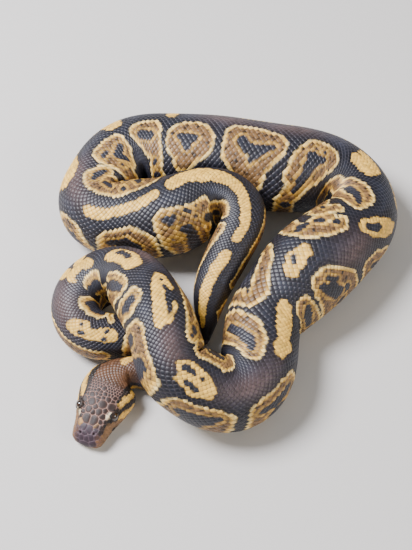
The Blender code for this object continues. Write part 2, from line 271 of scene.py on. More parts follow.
def bodyForm(line, s, angle):
    # a round section pulled in by folds, the floor and whatever it leans on, as points in the air;
    # the small numbers only keep divisors and the reach off zero
    place, left, up, half, turn = lineAt(line, s)
    side, rise = np.sin(angle), np.cos(angle)
    direction = left[:, None, :] * side[None, :, None] + up[:, None, :] * rise[None, :, None]
    tall = np.where(rise > 0, body["top"], body["belly"])
    total = np.abs(side) ** body["power"] + np.abs(rise / tall) ** body["power"]
    reach = half[:, None] * (total ** (-1 / body["power"]))[None, :]
    inward = side[None, :] * np.sign(turn)[:, None]
    share = (np.abs(turn) * half)[:, None]
    beyond = np.maximum(share - body["foldStart"], 0)
    kept = body["foldStart"] + body["foldRoom"] * (1 - np.exp(-beyond / body["foldRoom"]))
    fold = kept / np.maximum(np.abs(turn), 1e-6)[:, None] / np.maximum(inward, 0.02)
    reach = softMin(reach, np.where(share > body["foldStart"], fold, farOff), skin["foldSoft"])
    floor = place[:, None, 2] / np.maximum(-direction[:, :, 2], 1e-3)
    reach = softMin(reach, floor, skin["floorSoft"])
    contact = contactReach(line, s, place, direction, half)
    reach = softMin(reach, contact, skin["contactSoft"]) - body["coat"]
    return place[:, None, :] + direction * np.maximum(reach, 0.05)[:, :, None]


def headForm(line, s, angle):
    # upright sections, widths and heights read along the head; the root keeps the snout round
    sooner = np.sqrt(np.maximum(s - headTable[0][0], 0))
    stations = np.sqrt(np.array([row[0] for row in headTable]) - headTable[0][0])
    half, top, bottom, widest = (through(sooner, stations, [row[k] for row in headTable])
                                 for k in (1, 2, 3, 4))
    place, left, _, _, _ = lineAt(line, s)
    side, rise = np.sin(angle), np.cos(angle)
    across = (np.sign(side) * np.abs(side) ** (2 / head["power"]))[None, :]
    lift = (np.sign(rise) * np.abs(rise) ** (2 / head["power"]))[None, :]
    half = np.maximum(half - body["coat"], 0.02)[:, None]
    above = top - widest - body["coat"] * head["topCoat"]
    tall = np.where(rise > 0, above[:, None], (widest - bottom)[:, None])
    points = place[:, None, :] + left[:, None, :] * (half * across)[:, :, None]
    points[:, :, 2] = np.maximum(widest[:, None] + np.maximum(tall, 0.02) * lift, head["lowest"])
    return points


def evenRings(points):
    # slide the points of each ring so that they lie evenly from spine to belly on both sides
    count = points.shape[1] - 1
    gaps = np.linalg.norm(np.diff(points, axis=1), axis=2)
    far = np.concatenate([np.zeros((len(points), 1)), np.cumsum(gaps, axis=1)], axis=1)
    share = np.linspace(-1, 1, skin["columns"] + 1)
    out = np.empty((len(points), len(share), 3))
    for k in range(len(points)):  # one pass for each ring
        signed = far[k] - far[k, count // 2]
        want = share * far[k, -1] / 2 + (signed[0] + signed[-1]) / 2 * np.abs(share)
        for axis in range(3):
            out[k, :, axis] = np.interp(want, signed, points[k, :, axis])
    return out, far[:, -1]


def buildSkinGrid(line):
    # rings from snout to tail tip, column 0 and the last along the belly, the middle one the spine
    nose = headTable[0][0]
    lastEven, last = line["length"] - np.array(skin["tailEnd"])
    curved = nose + skin["snoutLength"] * np.linspace(0, 1, skin["snoutRings"]) ** 2
    straight = np.arange(curved[-1] + skin["headStep"], skin["headStepEnd"], skin["headStep"])
    rest = np.arange(straight[-1] + skin["bodyStep"], lastEven, skin["bodyStep"])
    s = np.concatenate([curved, straight, rest, [last]])
    around = np.linspace(-math.pi, math.pi, 2 * skin["columns"] + 1)
    trunk = s > skin["headBlend"][0]
    roll = np.radians(np.interp(s, line["s"], line["roll"]))
    points = np.empty((len(s), len(around), 3))
    fineAngle = np.linspace(-math.pi, math.pi, skin["angles"])
    formed = bodyForm(line, s[trunk], fineAngle)
    for k, row in enumerate(np.nonzero(trunk)[0]):  # one pass for each ring: turn it to the spine
        turned = around - roll[row] * (1 + np.cos(around)) / 2
        for axis in range(3):
            points[row, :, axis] = np.interp(turned, fineAngle, formed[k, :, axis], period=2 * math.pi)
    early = s < skin["headBlend"][1]
    front = headForm(line, s[early], around)
    mix = ramp(s[early], *skin["headBlend"])[:, None, None]
    points[early] = np.where(mix > 0, front * (1 - mix) + points[early] * mix, front)
    return s, points


def gridNormals(points, middle):
    # cross product of the two grid directions, turned away from the middle line
    closed = np.concatenate([points[:, -2:-1], points, points[:, 1:2]], axis=1)
    normal = np.cross(closed[:, 2:] - closed[:, :-2], np.gradient(points, axis=0))
    normal /= np.linalg.norm(normal, axis=2)[..., None] + 1e-9
    return normal * np.sign(((points - middle[:, None]) * normal).sum(2).mean())


def sampleSkin(s, a):
    # place and outward normal on the skin, at s along the body and a round it from the spine
    row = np.interp(s, ringS, np.arange(len(ringS)))
    column = (a / np.interp(s, ringS, girth) + 0.5) * skin["columns"]
    low = np.minimum(row.astype(int), len(ringS) - 2)
    across = (row - low)[..., None]
    left = np.floor(column).astype(int)
    share = (column - left)[..., None]
    left, right = left % skin["columns"], (left + 1) % skin["columns"]
    out = []
    for grid in (skinPoints, skinNormals):
        near = grid[low, left] * (1 - share) + grid[low, right] * share
        far = grid[low + 1, left] * (1 - share) + grid[low + 1, right] * share
        out.append(near * (1 - across) + far * across)
    out[1] /= np.linalg.norm(out[1], axis=-1)[..., None] + 1e-9
    return out


# The mouth's line on the side of the head: distance from the snout, height.
mouth = [(-3.0, 4.0), (3.0, 3.7), (12.0, 4.2), (20.0, 5.2), (27.5, 5.0)]
relief = {
    "end": 34.0,                 # nothing is carved behind this
    "mouthRings": (0.2, 30.0),   # where the mouth's line is looked for
    "mouthFade": [(28.0, 25.0), (0.0, 1.0)],     # the groove ends between these
    "groove": (0.45, 0.3),       # depth and half width of the mouth's line
    "lip": (0.22, 1.3, 0.9),     # height, distance from the mouth's line, half width
    "brow": [(4.5, 5.0), (9.0, 5.6), (12.5, 6.6), (16.0, 7.8), (19.5, 8.2)],
    "browRidge": (0.42, 1.1),    # height and half width
    "loreal": (8.5, 3.0, 8.3, 1.6, 0.45),        # hollow before the eye: places, spans and depth
    "furrow": (0.25, 1.1),       # along the middle of the snout: depth and half width
    "furrowFade": [(6.0, 9.0), (15.0, 11.0)],
    "nostril": (0.9, 0.45),      # depth and radius
    "nostrilRing": (0.3, 0.95, 0.4),             # height, radius and half width
    "pit": (0.38, 0.55),         # depth and radius of the heat pits in the upper lip
    "opening": 50.0,             # degrees from the gaze to the edge of the lids
    "lid": (0.2, 12.0, 15.0),    # height, degrees behind that edge, width in degrees
    "overEye": 0.12,             # the skin's height over the ball round the opening
    "underEye": 0.5,             # and its depth under the ball's face inside the opening
    "socket": (115.0, 95.0),     # degrees between which the skin leaves the ball
}


def mouthLine():
    # how far round from the spine the mouth lies, ring by ring
    first, last = relief["mouthRings"]
    rows = np.nonzero((ringS > first) & (ringS < last))[0]
    half = skin["columns"] // 2
    found = []
    for row in rows:  # one pass for each ring
        height = np.interp(ringS[row], [p[0] for p in mouth], [p[1] for p in mouth])
        side = skinPoints[row, half:, 2]
        found.append(np.interp(-height, -side, np.arange(len(side))) / (2 * half) * girth[row])
    return ringS[rows], np.array(found)


def nearestSpot(s, a, spots):
    # distance to the nearest of a few spots on the skin
    return np.min([np.hypot(s - spot[0], a - spot[1]) for spot in spots], axis=0)


def fades(s, pairs):
    # product of the ramps between each pair of values
    return math.prod(ramp(s, *pair) for pair in pairs)


def pitSpots():
    # the plates of the upper lip that carry a heat pit, as places on the skin
    s = plates["labialRow"][0] + plates["labialRow"][2] * np.array(plates["pits"])
    return np.stack([s, np.interp(s, mouthS, mouthA) - plates["lipHeight"]], 1)


def carveHead():
    # brow, eye sockets, nostrils, lips and the mouth's groove, pushed out or in along the normals
    rows = ringS < relief["end"]
    columns = np.arange(skin["columns"] + 1) / skin["columns"] - 0.5
    s = np.broadcast_to(ringS[rows][:, None], (rows.sum(), len(columns)))
    a = columns[None] * girth[rows][:, None]
    side = np.abs(a)
    below = np.interp(s, mouthS, mouthA) - side
    closed = fades(s, relief["mouthFade"])
    deep, wide = relief["groove"]
    push = -deep * hump(below, wide) * closed
    high, apart, wide = relief["lip"]
    push += high * hump(np.abs(below) - apart, wide) * closed
    high, wide = relief["browRidge"]
    push += high * hump(strokeDistance(s, side, [(x, y, 0.0) for x, y in relief["brow"]]), wide)
    placeS, spanS, placeA, spanA, deep = relief["loreal"]
    push -= deep * hump(s - placeS, spanS) * hump(side - placeA, spanA)
    deep, wide = relief["furrow"]
    push -= deep * hump(a, wide) * fades(s, relief["furrowFade"])
    hole = nearestSpot(s, a, nostrils)
    high, radius, wide = relief["nostrilRing"]
    push += high * hump(hole - radius, wide)
    deep, wide = relief["nostril"]
    push -= deep * hump(hole, wide)
    deep, wide = relief["pit"]
    push -= deep * hump(nearestSpot(s, side, pitSpots()), wide)
    skinPoints[rows] += skinNormals[rows] * push[..., None]
    high, behind, wide = relief["lid"]
    for centre, gaze in zip(eyeCentres, eyeGazes):  # the skin closes round each ball
        out = skinPoints[rows] - centre
        far = np.linalg.norm(out, axis=2)
        turn = np.degrees(np.arccos(np.clip(out @ gaze / far, -1, 1)))
        lid = high * hump(turn - relief["opening"] - behind, wide) + relief["overEye"]
        wanted = eyeRadius + np.where(turn > relief["opening"], lid, -relief["underEye"])
        held = np.where(turn > relief["opening"], np.maximum(far, wanted), wanted)
        skinPoints[rows] += out * ((held / far - 1) * ramp(turn, *relief["socket"]))[..., None]


line = middleLine()
ringS, roughPoints = buildSkinGrid(line)
skinPoints, girth = evenRings(roughPoints)
skinNormals = gridNormals(skinPoints, lineAt(line, ringS)[0])
print("middle line", round(line["length"], 1), "mm, skin rings", len(ringS))

# Markings: a kind, strokes that make up the mark, strokes of its dark core. A stroke is a run of
# (distance from the snout, distance round from the spine, half width), all in millimetres; to the
# left of the way the body runs is positive.
marks = [
    # left coil
    ("side", [[(95, 0, 4), (101, 4, 3.2), (101, 14, 4)]], []),
    ("side", [[(110, -5.5, 1.6), (112, -9, 1.8), (111, -16, 2.5)]], []),
    ("gold", [[(110, 1.8, 3.2), (117, 2, 2.7), (123, 1.8, 3.6)], [(112.5, -0.5, 1.9), (114, -0.6, 1.5)],
              [(121, -1.3, 2.0), (123, -1, 1.6)]],
     [[(112.5, 3.4, 0.9)], [(111.8, -0.4, 0.6)], [(120.5, 2.6, 1.0)], [(122, -0.8, 0.6)]]),
    ("side", [[(118, -11, 4.8), (131, -11.5, 5.4)], [(120, -16, 8), (128, -20, 8)]],
     [[(118, -12, 3.0), (130, -12.3, 3.0)], [(122, -20, 5), (128, -22, 4.5)]]),
    ("side", [[(114, 15, 4.5), (128, 15, 4.5)], [(115, 24, 6), (126, 24, 7)]], []),
    ("gold", [[(144.5, -2, 3.2), (151, -2.2, 3.4), (154.2, -4, 2.0)], [(144.2, 3, 2.2), (143.5, 9, 2)],
              [(150, 3, 2.2), (151, 8, 2)]],
     [[(144.5, -4.5, 0.6), (150, -5, 0.7)]]),
    ("side", [[(146, -12, 4.6), (155, -14, 6), (158, -22, 7)]],
     [[(142.5, -12.5, 1.8), (152, -13.8, 2.2), (160, -16.5, 1.8)], [(156, -25, 2.5)]]),
    ("gold", [[(167.2, -3.6, 4.3), (174, -3.6, 4.7), (181, -3.4, 4.1)],
              [(176, -5.5, 2.8), (182, -5.2, 2.6)]],
     [[(168, -1.8, 1.3), (174.5, -2.9, 1.2)]]),
    ("side", [[(176, -15, 2.3), (184, -14.5, 4.6), (189, -13.6, 4.9)],
              [(189, -14, 4.9), (185, -22, 5), (180, -34, 5)]],
     [[(190, -13.5, 1.4), (184, -16.5, 2.2), (178, -19.5, 1.5)]]),
    ("side", [[(180, 21, 4), (192, 19.4, 4), (203, 17.6, 3.6), (213, 14.6, 3.2)],
              [(190, 27, 6), (212, 26, 8)]], []),
    ("side", [[(137, -23, 3.5), (150, -22.5, 3.6), (164, -20.5, 2.6), (176, -20.5, 1.6)]], []),
    # crossing and front bend
    ("gold", [[(195.2, 5, 3.1), (199.5, 2.6, 3.0), (205, 0.8, 2.8), (212, -0.8, 3.1)],
              [(195, 5.8, 2.8), (198, 7.6, 2.0), (201.2, 8.4, 1.4)],
              [(213, 0, 1.7), (212.8, 3.5, 1.0), (210.6, 6.2, 0.9), (207.6, 7.6, 0.9)]],
     [[(197, 5.6, 0.6)], [(200.6, 5.7, 0.8)]]),
    ("side", [[(199, -9, 4.0), (200.5, -14, 5.0), (199, -22, 4.2), (195, -34, 4.5)]],
     [[(199.5, -10.5, 1.5), (200.5, -14, 2.2), (200, -18.4, 0.9)]]),
    ("side", [[(213.5, -14, 5), (226, -14, 5)], [(213, -14, 5), (212, -30, 5.5)],
              [(226, -14, 5), (226.5, -32, 5.5)], [(219, -18, 7), (219, -28, 7)]],
     [[(214, -19.5, 2.4), (213.5, -28, 2.6)], [(224.5, -15.5, 2.0), (224.8, -20, 3.0), (224, -30, 3.4)]]),
    ("side", [[(216, 14.5, 4.0), (220, 13, 3.6)], [(218, 17, 5), (216, 28, 6)]],
     [[(217.5, 14.5, 1.4)], [(220, 12.2, 0.6)], [(217, 22, 2)]]),
    ("side", [[(226.5, 17, 5.0), (234, 13, 4.6), (241, 12.5, 3.8), (250, 12, 4.2)],
              [(230, 20, 7), (236, 28, 7)]],
     [[(235, 18.5, 1.8), (238, 22, 2.2)], [(237, 15.4, 0.9), (246, 15.4, 1.2)]]),
    ("side", [[(248, 12, 4.6), (256, 14.5, 5), (264, 19, 5)], [(250, 17, 6), (262, 26, 7)]],
     [[(252, 20, 2.4), (262, 26, 2)]]),
    ("gold", [[(232, 1.4, 3.5), (240, -1, 3.9), (242.5, -3.4, 4.2)],
              [(236, -3, 4.6), (238.5, -5.4, 4.2)]],
     [[(232.2, 1.2, 1.3), (235.6, 0.3, 0.8)], [(235.5, -5.0, 0.9), (239.2, -6, 1.1)], [(239, 0, 0.5)]]),
    ("side", [[(239, -18, 5.2), (250, -15.8, 5.3)], [(239, -18, 5.2), (239, -34, 6)],
              [(251, -17, 5.5), (251.5, -34, 5.5)], [(245, -24, 6), (245, -34, 6)]],
     [[(240, -21, 2.2), (248, -19.3, 2.8), (251, -16.5, 1.4)], [(245, -24, 3.6), (245, -34, 3.6)]]),
    ("side", [[(266, -15, 6.2), (272, -15, 6.3)], [(266, -16, 6), (266, -32, 6)],
              [(272, -16, 6.3), (273, -30, 6)]],
     [[(265, -16.5, 1.5), (269, -17.2, 2.3), (272.5, -16.5, 2.3)], [(269, -24, 2.6), (270, -32, 3)]]),
    # right and upper flank
    ("gold", [[(283, -1.6, 4.4), (284.3, -4.6, 3.0)],
              [(287, -1.2, 3.2), (294, -1, 4.5), (302, 0.6, 4.2), (309, 2.2, 2.7)]], []),
    ("side", [[(276, 9.6, 4.0), (284, 10.6, 4.8), (291, 14.5, 5.4), (295, 22, 5), (296, 34, 4.5)],
              [(277, 10.5, 4.2), (284, 17, 4.2), (289, 24, 4.4), (292, 34, 4.4)]],
     [[(278.5, 10.6, 0.9), (284, 13, 2.0), (288, 17, 1.9), (292.5, 23, 1.1)]]),
    ("side", [[(306, 34, 2.4), (305, 24, 3.0), (304.3, 15.5, 4.2), (309, 14, 4.2), (316, 18, 3.7),
               (323, 22, 3.6), (329, 27, 3.0), (331, 34, 3)]],
     [[(307, 18.5, 0.6)]]),
    ("gold", [[(324.6, 9.4, 2.9), (330, 11.3, 4.1), (334.6, 11.5, 3.2)]],
     [[(328.2, 11, 0.8), (331, 12.9, 0.8)]]),
    ("side", [[(316, -6, 5), (318, -4.6, 4.2)], [(314.5, -8, 5), (313, -34, 5.2)],
              [(318, -6, 4.2), (319, -34, 4.6)]],
     [[(318, -8.6, 1.6), (316, -13, 2.6), (315, -21, 2.2)], [(316, -28, 2)]]),
    ("side", [[(330, -3.2, 5), (334, -2.8, 4.6)], [(328.2, -7, 4), (327.5, -34, 4)],
              [(336, -6, 5), (343, -15, 5.2), (346, -34, 5.5)], [(334, -14, 6), (336, -34, 7)]],
     [[(329.6, -5.5, 1.4), (332.5, -11.5, 3.2), (335, -18, 3.2)], [(333.5, -3.8, 0.7), (337, -8.8, 0.9)],
      [(341, -19, 1.6), (341, -22, 1.4)], [(337, -29, 3)]]),
    ("side", [[(341.3, 25, 4.0), (343, 17, 4.2), (349.5, 11.4, 3.6), (356.5, 8.9, 3.5),
               (359.5, 9.6, 2.4)], [(342, 24, 4.3), (345, 34, 5)],
              [(348, 17, 3.6), (353, 17, 3.5), (357, 14, 2.8)]],
     [[(341.5, 20.5, 1.0), (343.5, 21, 1.8), (346, 19.5, 1.0)], [(350, 17.5, 0.9), (352, 15.8, 1.4)],
      [(356.3, 11.2, 1.2)]]),
    ("side", [[(356, 22, 3.6), (363.5, 16, 3.2), (364, 14.5, 2.6)], [(359, 23, 4.5), (368, 26, 4)],
              [(360, 30, 6)]],
     [[(361, 21, 1.1)], [(352.5, 22, 0.4)]]),
    # right bend
    ("gold", [[(366, 1, 3.4), (370, -3.2, 5.0), (374, -9, 4.2), (376.3, -13.6, 2.4)]],
     [[(367.3, -0.2, 1.5), (370.8, -4, 2.2)]]),
    ("side", [[(358, -19.5, 4.3), (364, -19.5, 4.6), (369.5, -25, 5)], [(358, -22, 4.3), (359, -34, 5)],
              [(366, -28, 6)]],
     [[(362, -24, 1.4), (366, -28, 2.2)]]),
    ("side", [[(374, 10.5, 4.4), (380, 8.6, 5.2), (387, 10.5, 4.6), (395, 14, 3.6)],
              [(374.5, 12, 4.4), (378, 20, 4.4), (388, 21, 4.2)]],
     [[(375.5, 9.8, 1.0), (381, 12, 2.1), (388, 14.6, 1.6)]]),
    ("side", [[(395, 19, 4), (403, 18.5, 4), (410, 26, 5), (414, 34, 6)]], [[(404, 24, 1.4)]]),
    ("gold", [[(397.5, 2.6, 3.4), (404.5, 3.3, 3.4)], [(398, -2, 3.4), (404, -3, 3.4)]], []),
    # right shoulder and back
    ("side", [[(418, 13, 6.4), (424, 12, 7), (429, 15.5, 6)],
              [(423, 18, 6), (432, 27, 4.6), (437, 37, 4), (437, 50, 4.5)],
              [(430, 17, 6), (434.5, 25, 4.4)]],
     [[(421, 14.6, 1.2), (426, 15.4, 3.1), (428.5, 20, 1.9), (432, 27, 1.2), (434, 31, 0.7)],
      [(420.5, 10.6, 0.5)], [(424.5, 10.2, 0.5)], [(436.5, 39.5, 1.6)]]),
    ("side", [[(443.3, 10.2, 5.6), (455, 8.6, 6), (462.5, 9.2, 6.2)],
              [(443.3, 12, 5.6), (449.5, 22, 5), (451.5, 31, 4.4)],
              [(462.6, 11, 6.2), (462.8, 18, 6), (457, 25, 5.4), (451, 30, 4.6)]],
     [[(444, 12.4, 0.9), (449.5, 14.6, 2.2), (453, 18.5, 1.8), (453.3, 20.5, 0.9)],
      [(449, 14.4, 1.8), (456.5, 15, 2.2), (459.5, 11.5, 2.5)]]),
    ("side", [[(483, 14, 10.2), (486.6, 14.2, 10.2)], [(485, 20, 7), (487, 24, 5)]],
     [[(482.4, 13, 1.3), (486, 14.6, 2.8), (485.6, 17, 1.6)], [(486, 13.4, 2.0), (490.2, 12.5, 1.1)]]),
    # left shoulder and left bend
    ("side", [[(505.6, 9.6, 5.7), (511, 10.6, 5.9)], [(504, 14, 4.4), (501.5, 22, 3.8), (499.5, 34, 4)],
              [(511, 13.4, 4.4), (506, 18.5, 4)]],
     [[(506, 12.6, 2.1), (511, 11.9, 2.0)], [(501.8, 24.5, 0.9)], [(500.6, 30.5, 1.5)]]),
    ("gold", [[(497, -1.6, 2.7), (497, -13, 3.2)]], []),
    ("gold", [[(520, 0, 3.0), (520, -10, 3.2), (521, -16, 3)]], []),
    ("side", [[(526, 10.4, 5.6), (534, 9, 6), (536, 12, 4.6)], [(535.4, 14, 4.6), (536.8, 26, 3.6)],
              [(524.4, 14, 4), (531, 20.5, 2.4)], [(530, 18, 5)]],
     [[(526, 12.2, 1.4), (531, 14, 1.9), (530, 18.4, 0.9)], [(533, 9, 0.7), (536, 8.7, 0.7)],
      [(535, 18, 0.5)]]),
    ("gold", [[(546, -4.8, 4.4), (541.5, -10.5, 5.2), (543, -17, 5)],
              [(548, -5, 3.2), (546, -13, 4.6)]], []),
    ("side", [[(544.5, 12.5, 4.2), (550, 9, 4.8), (556.5, 11, 4.2), (566, 11.6, 4.2), (573, 9.6, 4.3),
               (581, 12, 5.2), (590, 17, 6)], [(550, 18, 6), (560, 18, 6), (571, 18, 6), (582, 20, 7)]],
     [[(544, 12.6, 0.8), (548, 9.9, 1.3), (550, 9.3, 0.8)],
      [(553, 14.2, 0.8), (560, 14.8, 1.1), (566, 13.2, 0.8)], [(574, 10, 1.2)],
      [(579.5, 17, 1.6), (581, 13.5, 0.9)], [(573, 18, 1.2)]]),
    ("gold", [[(563, -2.4, 3.2), (572, -2, 2.8), (583, -1.8, 2.9), (590.3, 1.4, 2.7)]], []),
    ("side", [[(558, -15.2, 3.1), (558, -22, 4.6), (560.5, -32, 4)]],
     [[(558.2, -21.5, 0.9), (559.5, -27, 1.1)]]),
    ("side", [[(569, -15.2, 3.6), (579, -16.2, 4.2), (585, -22, 4.4), (586, -34, 4)],
              [(569, -16, 3.6), (568, -30, 3.4)]],
     [[(569.5, -19.5, 1.7), (577, -20.6, 2.3), (581.5, -25.5, 2)], [(576, -29, 4)]]),
    # inner run and tail
    ("gold", [[(602, 4, 4.1), (607, 4.6, 4.8), (612, 3.6, 5.0), (617, -0.4, 4.6), (625, -3, 3.2),
               (633, -3.5, 2.5), (640, -1.6, 2.2), (647, 1.5, 2.2), (652.3, 2.0, 2.2)]], []),
    ("gold", [[(661.6, 2.3, 2.6), (668, 2, 2.7), (675, 1, 2.6), (682, -0.8, 2.6), (690, -2, 1.8),
               (696, -1.3, 1)]], []),
    ("side", [[(594.3, -12.6, 5), (600, -15, 5.6), (606, -15.6, 4.6), (613, -14.4, 3.7)],
              [(594, -14, 4.6), (595, -24, 4.4), (597, -34, 4)], [(603, -19, 4.4), (604, -34, 3)],
              [(609, -17, 4), (607.6, -27, 1.8)],
              [(616, -18.6, 4), (626, -18.6, 4.2), (635, -14.6, 4), (642, -11.5, 2.6)],
              [(620, -26, 6), (632, -20, 6)]],
     [[(593.8, -12.8, 1.3), (595.8, -13.4, 1.4), (595.2, -15.6, 0.9)],
      [(599.2, -20.4, 1.6), (600.2, -23, 1.5), (600.3, -36, 2)], [(610, -20.6, 1.9), (613, -21, 2.2)],
      [(618, -21.6, 1.6), (626, -22, 1.4)], [(603.6, -14, 0.4)], [(602, -12.3, 0.3)], [(604.5, -17, 0.5)],
      [(594.6, -24, 0.5)], [(607, -12.8, 0.4)]]),
    ("side", [[(651, -9.8, 4), (665, -11, 3.6), (680, -11.6, 2.6)], [(655, -16, 8), (672, -16, 6)]], []),
    ("side", [[(640, 15, 4.5), (655, 17, 5.2), (667, 17, 5.2), (672, 14, 3.2)],
              [(645, 24, 8), (662, 24, 8)]], []),
    ("side", [[(684, 14, 3.2), (690, 9, 3.2)]], []),
]
colours = {
    # the dark ground's blue cast, strongest in its paler patches, is a painted reflection of the sky on
    # the dark scales; the near black is their own colour
    "ground": "0d0e14",
    "groundPaleAndSheen": "2c313e",
    "wash": "57433f",
    "gold": "e2b04a",
    "goldPale": "fed062",
    "rim": "ffe7a0",
    "tan": "7f5f3b",
    "tanDark": "241b15",
    "belly": "ece0c8",
    "between": "6a616b",
    "betweenPale": "6e4d1e",
}
# brown bloom along the spine: place along and round, and how far it spreads each way
washes = [
    (222, 1, 9, 5), (262, -1, 14, 6), (353, -5, 12, 8), (176, 5, 6, 4),
    (133, 2, 10, 7), (436, -2, 16, 5), (470, -3, 12, 6), (549, 0, 10, 5),
]
# flanks that don't show: side, first and last distance from the snout, how far round the tops lie
unseen = {
    "flanks": [(-1, 52, 92, 13), (1, 52, 92, 13), (1, 132, 176, 15), (-1, 386, 556, 14)],
    "inset": 6.0,                # from a flank's start to its first mark
    "apart": 21.0,
    "stray": 2.0,                # how far a mark may lie from its even place
    "halfSpan": (3.5, 6.0),      # from an arch's middle to its legs
    "top": (-1.0, 2.0),          # how far the arch's top may lie from the flank's
    "foot": 34.0,                # how far round its legs run down
    "legs": (4.0, 4.2, 4.4, 4.0),        # half widths at the four corners
    "fill": (6.0, 1.0),          # inside an arch: how far under its top, and how it widens
    "core": [(-1, 4, 1.6), (1, 12, 2.4)],        # off the arch's middle and top, half width
    "coreFoot": 2.0,
    "seed": 5,
}


def unseenMarks():
    # arches with a dark core on flanks that lie hidden or face away, each a little different
    draw = np.random.default_rng(unseen["seed"])
    out = []
    for side, first, last, top in unseen["flanks"]:
        for middle in np.arange(first + unseen["inset"], last, unseen["apart"]):
            s = middle + draw.uniform(-unseen["stray"], unseen["stray"])
            wide = draw.uniform(*unseen["halfSpan"])
            high = side * draw.uniform(top + unseen["top"][0], top + unseen["top"][1])
            foot = side * unseen["foot"]
            corners = [(s - wide, foot), (s - wide, high), (s + wide, high), (s + wide, foot)]
            arch = [(*corner, leg) for corner, leg in zip(corners, unseen["legs"])]
            under, wider = unseen["fill"]
            fill = [(s, high + side * under, wide), (s, foot, wide + wider)]
            core = [(s + ds, high + side * da, half) for ds, da, half in unseen["core"]]
            out.append(("side", [arch, fill], [core + [(s, foot, unseen["coreFoot"])]]))
    return out


marks += unseenMarks()


def strokeDistance(s, a, stroke):
    # distance to a run of tapering capsules, negative inside
    best = np.full(s.shape, farOff)
    for (s0, a0, r0), (s1, a1, r1) in list(zip(stroke, stroke[1:])) or [(stroke[0], stroke[0])]:
        ds, da = s1 - s0, a1 - a0
        t = np.clip(((s - s0) * ds + (a - a0) * da) / max(ds * ds + da * da, 1e-6), 0, 1)
        best = np.minimum(best, np.hypot(s - s0 - t * ds, a - a0 - t * da) - r0 - t * (r1 - r0))
    return best


def ripple(s, a, size, seed):
    # smooth noise between about -1 and 1: six sine waves, 0.7 to 1.3 sizes long, each with a
    # heading of its own and bent by another wave across it
    draw = np.random.default_rng(seed)
    total = 0 * s
    for k in range(6):
        angle, phase = draw.uniform(0, 2 * math.pi, 2)
        pace = 2 * math.pi / (size * (0.7 + 0.12 * k))
        ahead = s * math.cos(angle) + a * math.sin(angle)
        beside = a * math.cos(angle) - s * math.sin(angle)
        total = total + np.sin(ahead * pace + phase + 1.3 * np.sin(beside * pace * 0.7 + phase))
    return total / 3


# how the body's colours are laid; a paler shade's patches are its even share, swing, size, seed
pattern = {
    "edge": 0.35,                # mm over which one colour turns into the next
    "reach": 6.0,                # marks are looked for this far off
    "waver": (0.3, 6.0, 3),      # swing, size and seed of a mark's uneven edge
    "coreGrowth": 0.35,          # dark cores stand this far past their strokes
    "groundPatches": (0.5, 0.3, 30, 5),
    "corePatches": (0.25, 0.2, 5, 4),
    "goldPatches": (0.25, 0.2, 7, 9),
    "awayFrom": (0.5, 5.5),      # the ground is darkest this near to a mark, palest from there on
    "bloom": 0.8,                # strength of the brown washes
    "speckle": [(0.9, 2.4, 8), (0.45, 6, 18)],   # swing, size and seed of the tan's mottles
    "darkShare": 0.38,           # of the dark tan in the tan
    "darkByCore": (0.12, -1, 2.5),   # less of it far from a core: rate and range of distances
    "goldBand": (1.15, 0.7, 0.3),    # gold edge of a mark: width, softness, how far mottles eat it
    "coreLine": (0.6, 0.9, 0.6),     # gold line round a core: strength, distance, width
    "flank": (0.35, 0.35),       # share of the way round where the flank starts, and its span
    "rim": (0.65, 0.3, 1.3),     # pale line, gone 1 mm in: share, more on the flank, steepness
    "bellyEdge": (0.235, 0.05),  # cream up to this share of the way to the spine, and its softness
    "bellyWaver": (0.5, 14, 12),
    "skinGrowth": 0.3,           # on bare skin a mark stands this far past its scales
    "skinShare": 0.35,           # of the scale's colour in the bare skin beside it
    "neck": (50, 38),            # body colours turn into the head's between these
}


def waver(s, a, swing, size, seed):
    # waves of a given swing, for uneven edges and mottles
    return swing * ripple(s, a, size, seed)


def patches(s, a, even, *waves):
    # share of the paler shade in a colour: an even part and slow waves
    return even + waver(s, a, *waves)


def markDepths(s, a):
    # distance to the gold marks, to the side marks and to the dark cores, negative inside
    reach = pattern["reach"]
    depth = {name: np.full(s.shape, reach) for name in ("gold", "side", "core")}
    wave = waver(s, a, *pattern["waver"])
    for kind, strokes, cores in marks:
        points = [point for stroke in strokes for point in stroke]
        first = min(p[0] - p[2] for p in points)
        last = max(p[0] + p[2] for p in points)
        near = (s > first - reach) & (s < last + reach)
        if not near.any():
            continue
        for name, runs in ((kind, strokes), ("core", cores)):
            growth = pattern["coreGrowth"] * (name == "core")
            for run in runs:
                found = strokeDistance(s[near], a[near], run) + wave[near] - growth
                depth[name][near] = np.minimum(depth[name][near], found)
    return depth["gold"], depth["side"], depth["core"]


def mixed(base, over, share):
    # from the base colour towards the other by a share from 0 to 1
    return base + (over - base) * np.clip(share, 0, 1)[..., None]


def inside(depth, soft=pattern["edge"]):
    # share of a mark at a signed distance from its edge
    return np.clip(0.5 - depth / soft, 0, 1)


